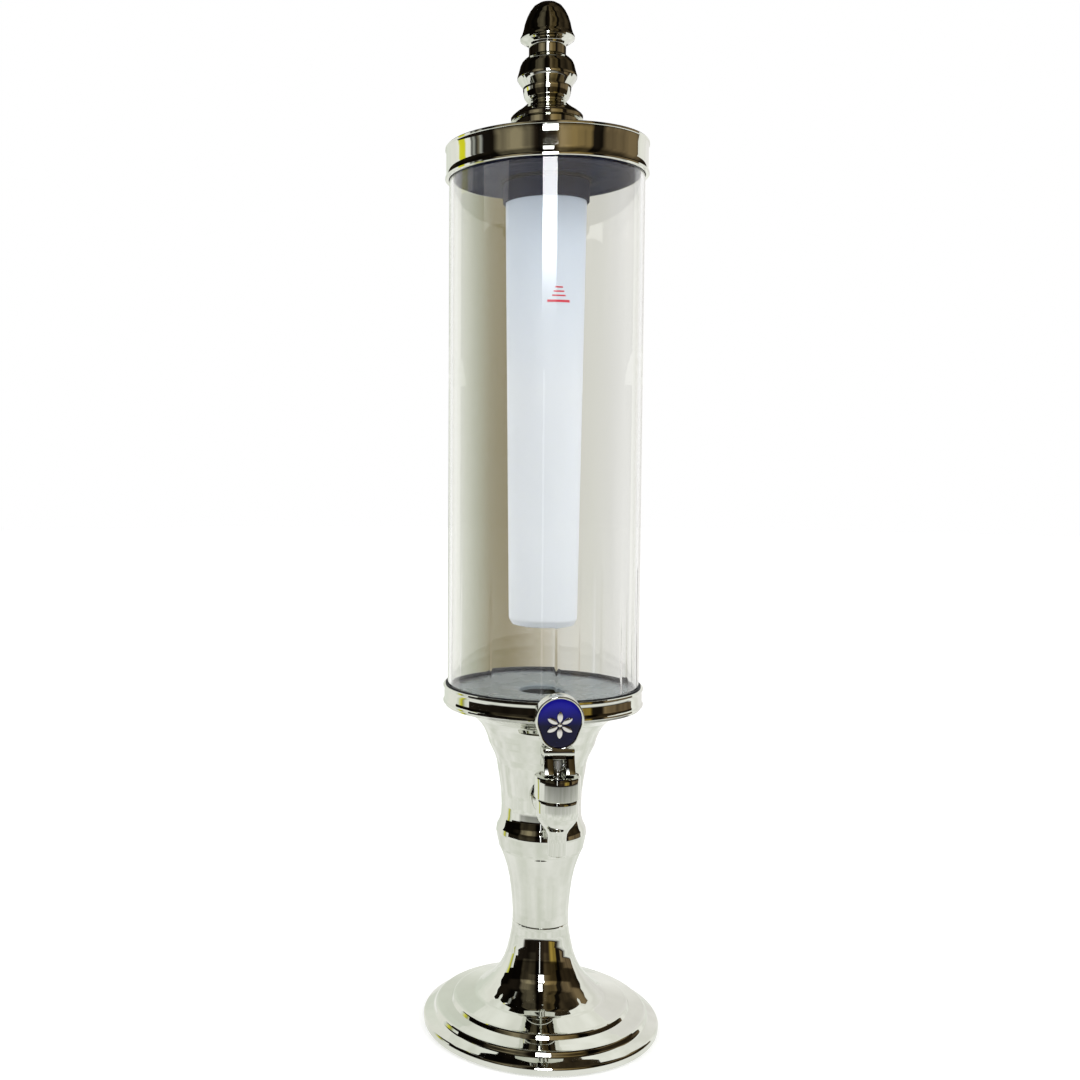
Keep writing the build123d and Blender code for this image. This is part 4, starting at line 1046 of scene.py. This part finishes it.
room_look = room_finish()
stage_wall("room_wall", room_look, room_radius, 0, room_height, -180, 180)
deselect()
bpy.ops.mesh.primitive_circle_add(
    vertices=96, radius=room_radius, fill_type="NGON", location=(0, 0, room_height)
)
ceiling = bpy.context.object
bpy.ops.object.transform_apply(location=True, rotation=True, scale=True)
ceiling.name = "room_ceiling"
ceiling.data.materials.append(room_look)
show_in_reflections(ceiling)


def banded_finish(name, bands, faint=(0.9, 0.9, 0.88), full=(1.04, 1.04, 1.04), scale=9):
    """Gives a screen that glows in upright bands with faint streaks."""
    made, parts, links, glow = glow_finish(name)
    streak = object_noise(parts, links, scale, 3, (1, 1, 0.08))
    streaks = tinted(parts, links, spread(parts, links, streak, 0, 1), faint, full)
    links.new(multiplied(parts, links, heading_colour(parts, links, bands), streaks), glow.inputs["Color"])
    return made


pale = (1.0, 1.0, 0.95)
cool_grey = (0.80, 0.84, 0.76)
yellow = (0.80, 0.78, 0.03)
back_bands = [
    (-180, pale), (-150, cool_grey), (-126, pale), (-112, pale), (116, pale), (150, (0.95, 0.93, 0.92)),
    (180, pale),
]
back_look = banded_finish("pale_backdrop", back_bands)
stage_wall("pale_backdrop", back_look, screen_radius, 0, screen_top, 116, 248)

# Hangs behind the tower, nearly flat, so that the foot's outer step mirrors something pale
awning_height = 0.45
awning_inner = 0.075
awning_bands = [(-180, pale), (-140, (0.90, 0.92, 0.86)), (140, pale), (180, pale)]
awning_look = banded_finish("pale_awning", awning_bands)
stage_wall(
    "pale_awning", awning_look, screen_radius, awning_height, awning_height + 2 * mm, 100, 260, awning_inner
)

# To the left, for the lid's cap above and for the foot below
mid_grey = (0.45, 0.46, 0.43)
olive = (0.40, 0.40, 0.15)
side_bands = [
    (-113, pale), (-109, yellow), (-99, yellow), (-97, pale), (-90, pale), (-88, black_brown),
    (-84, mid_grey), (-81, black_brown), (-77, grey_brown), (-74, mid_grey), (-71, black_brown),
    (-62, black_brown),
]
side_look = banded_finish("side_screen", side_bands)
stage_wall("side_screen", side_look, screen_radius, 0.64, screen_top, -112, -62)
low_bands = [
    (-113, pale), (-108, cool_grey), (-102, yellow), (-98, olive), (-94, cool_grey), (-88, pale),
]
low_look = banded_finish("low_screen", low_bands)
stage_wall("low_screen", low_look, screen_radius, 0, 0.14, -112, -88)

# Behind the tank, seen only through it: a tan wall to the left, a pale one to the right
tan = (0.22, 0.18, 0.08)
sand = (0.50, 0.46, 0.36)
stone = (0.73, 0.73, 0.68)
tank_bands = [
    (-180, sand), (-175, tan), (-172, (0.25, 0.22, 0.12)), (-169, (0.40, 0.41, 0.31)),
    (-166, (0.58, 0.60, 0.50)), (-158, (0.92, 0.93, 0.88)), (150, (0.97, 0.97, 0.95)),
    (165, (0.84, 0.84, 0.82)), (169, (0.76, 0.76, 0.74)), (173, stone), (177, (0.68, 0.67, 0.62)),
    (180, sand),
]
tank_look = banded_finish("tank_backdrop", tank_bands, (0.92, 0.92, 0.90), (1.03, 1.03, 1.03), 14)
stage_wall("tank_backdrop", tank_look, 0.45, 0.1, 0.72, 150, 210, see_through=True)


def window(name, start, stop, low, high, strength, fade=0.0):
    """Hangs a bright window before the room's wall, which may fade out downwards."""
    made, parts, links, glow = glow_finish(name)
    glow.inputs["Color"].default_value = (0.97, 0.98, 1.0, 1)
    glow.inputs["Strength"].default_value = strength
    if fade:
        height = object_place(parts, links).outputs["Z"]
        share = spread(parts, links, height, 0, 1, low, low + fade)
        curve = parts.new("ShaderNodeMath")
        curve.operation = "POWER"
        curve.inputs[1].default_value = 2.5
        links.new(share, curve.inputs[0])
        links.new(spread(parts, links, curve.outputs[0], 0, strength, 0, 1), glow.inputs["Strength"])
    stage_wall(name, made, room_radius - 20 * mm, low, high, start, stop)


window("low_window", -4, 13, 0.54, 0.80, 22, fade=0.14)
window("high_window", -3, 8, 0.93, 1.25, 3)
window("door_gap", -2.5, 0.5, 0.03, 0.5, 1.6)

world = bpy.data.worlds.new("studio")
bpy.context.scene.world = world
world.use_nodes = True
sky = world.node_tree.nodes["Background"]
sky.inputs["Color"].default_value = (1, 1, 1, 1)
straight = seen_straight(world.node_tree.nodes, world.node_tree.links)
world.node_tree.links.new(
    spread(world.node_tree.nodes, world.node_tree.links, straight, 0.8, 1.0, 0, 1), sky.inputs["Strength"]
)


def lamp(name, place, size, power):
    """Hangs a soft square lamp that faces the middle of the tower."""
    light = bpy.data.lights.new(name, "AREA")
    light.size = size
    light.energy = power
    made = bpy.data.objects.new(name, light)
    made.location = place
    middle = Vector((0, 0, 0.33))
    made.rotation_euler = (middle - Vector(place)).to_track_quat("-Z", "Y").to_euler()
    made.visible_glossy = False
    bpy.context.scene.collection.objects.link(made)


lamp("key_lamp", (1.4, -1.2, 1.8), 1.0, 14)
lamp("fill_lamp", (-1.6, -0.6, 1.4), 1.2, 8)

bpy.context.scene.view_settings.view_transform = "Standard"
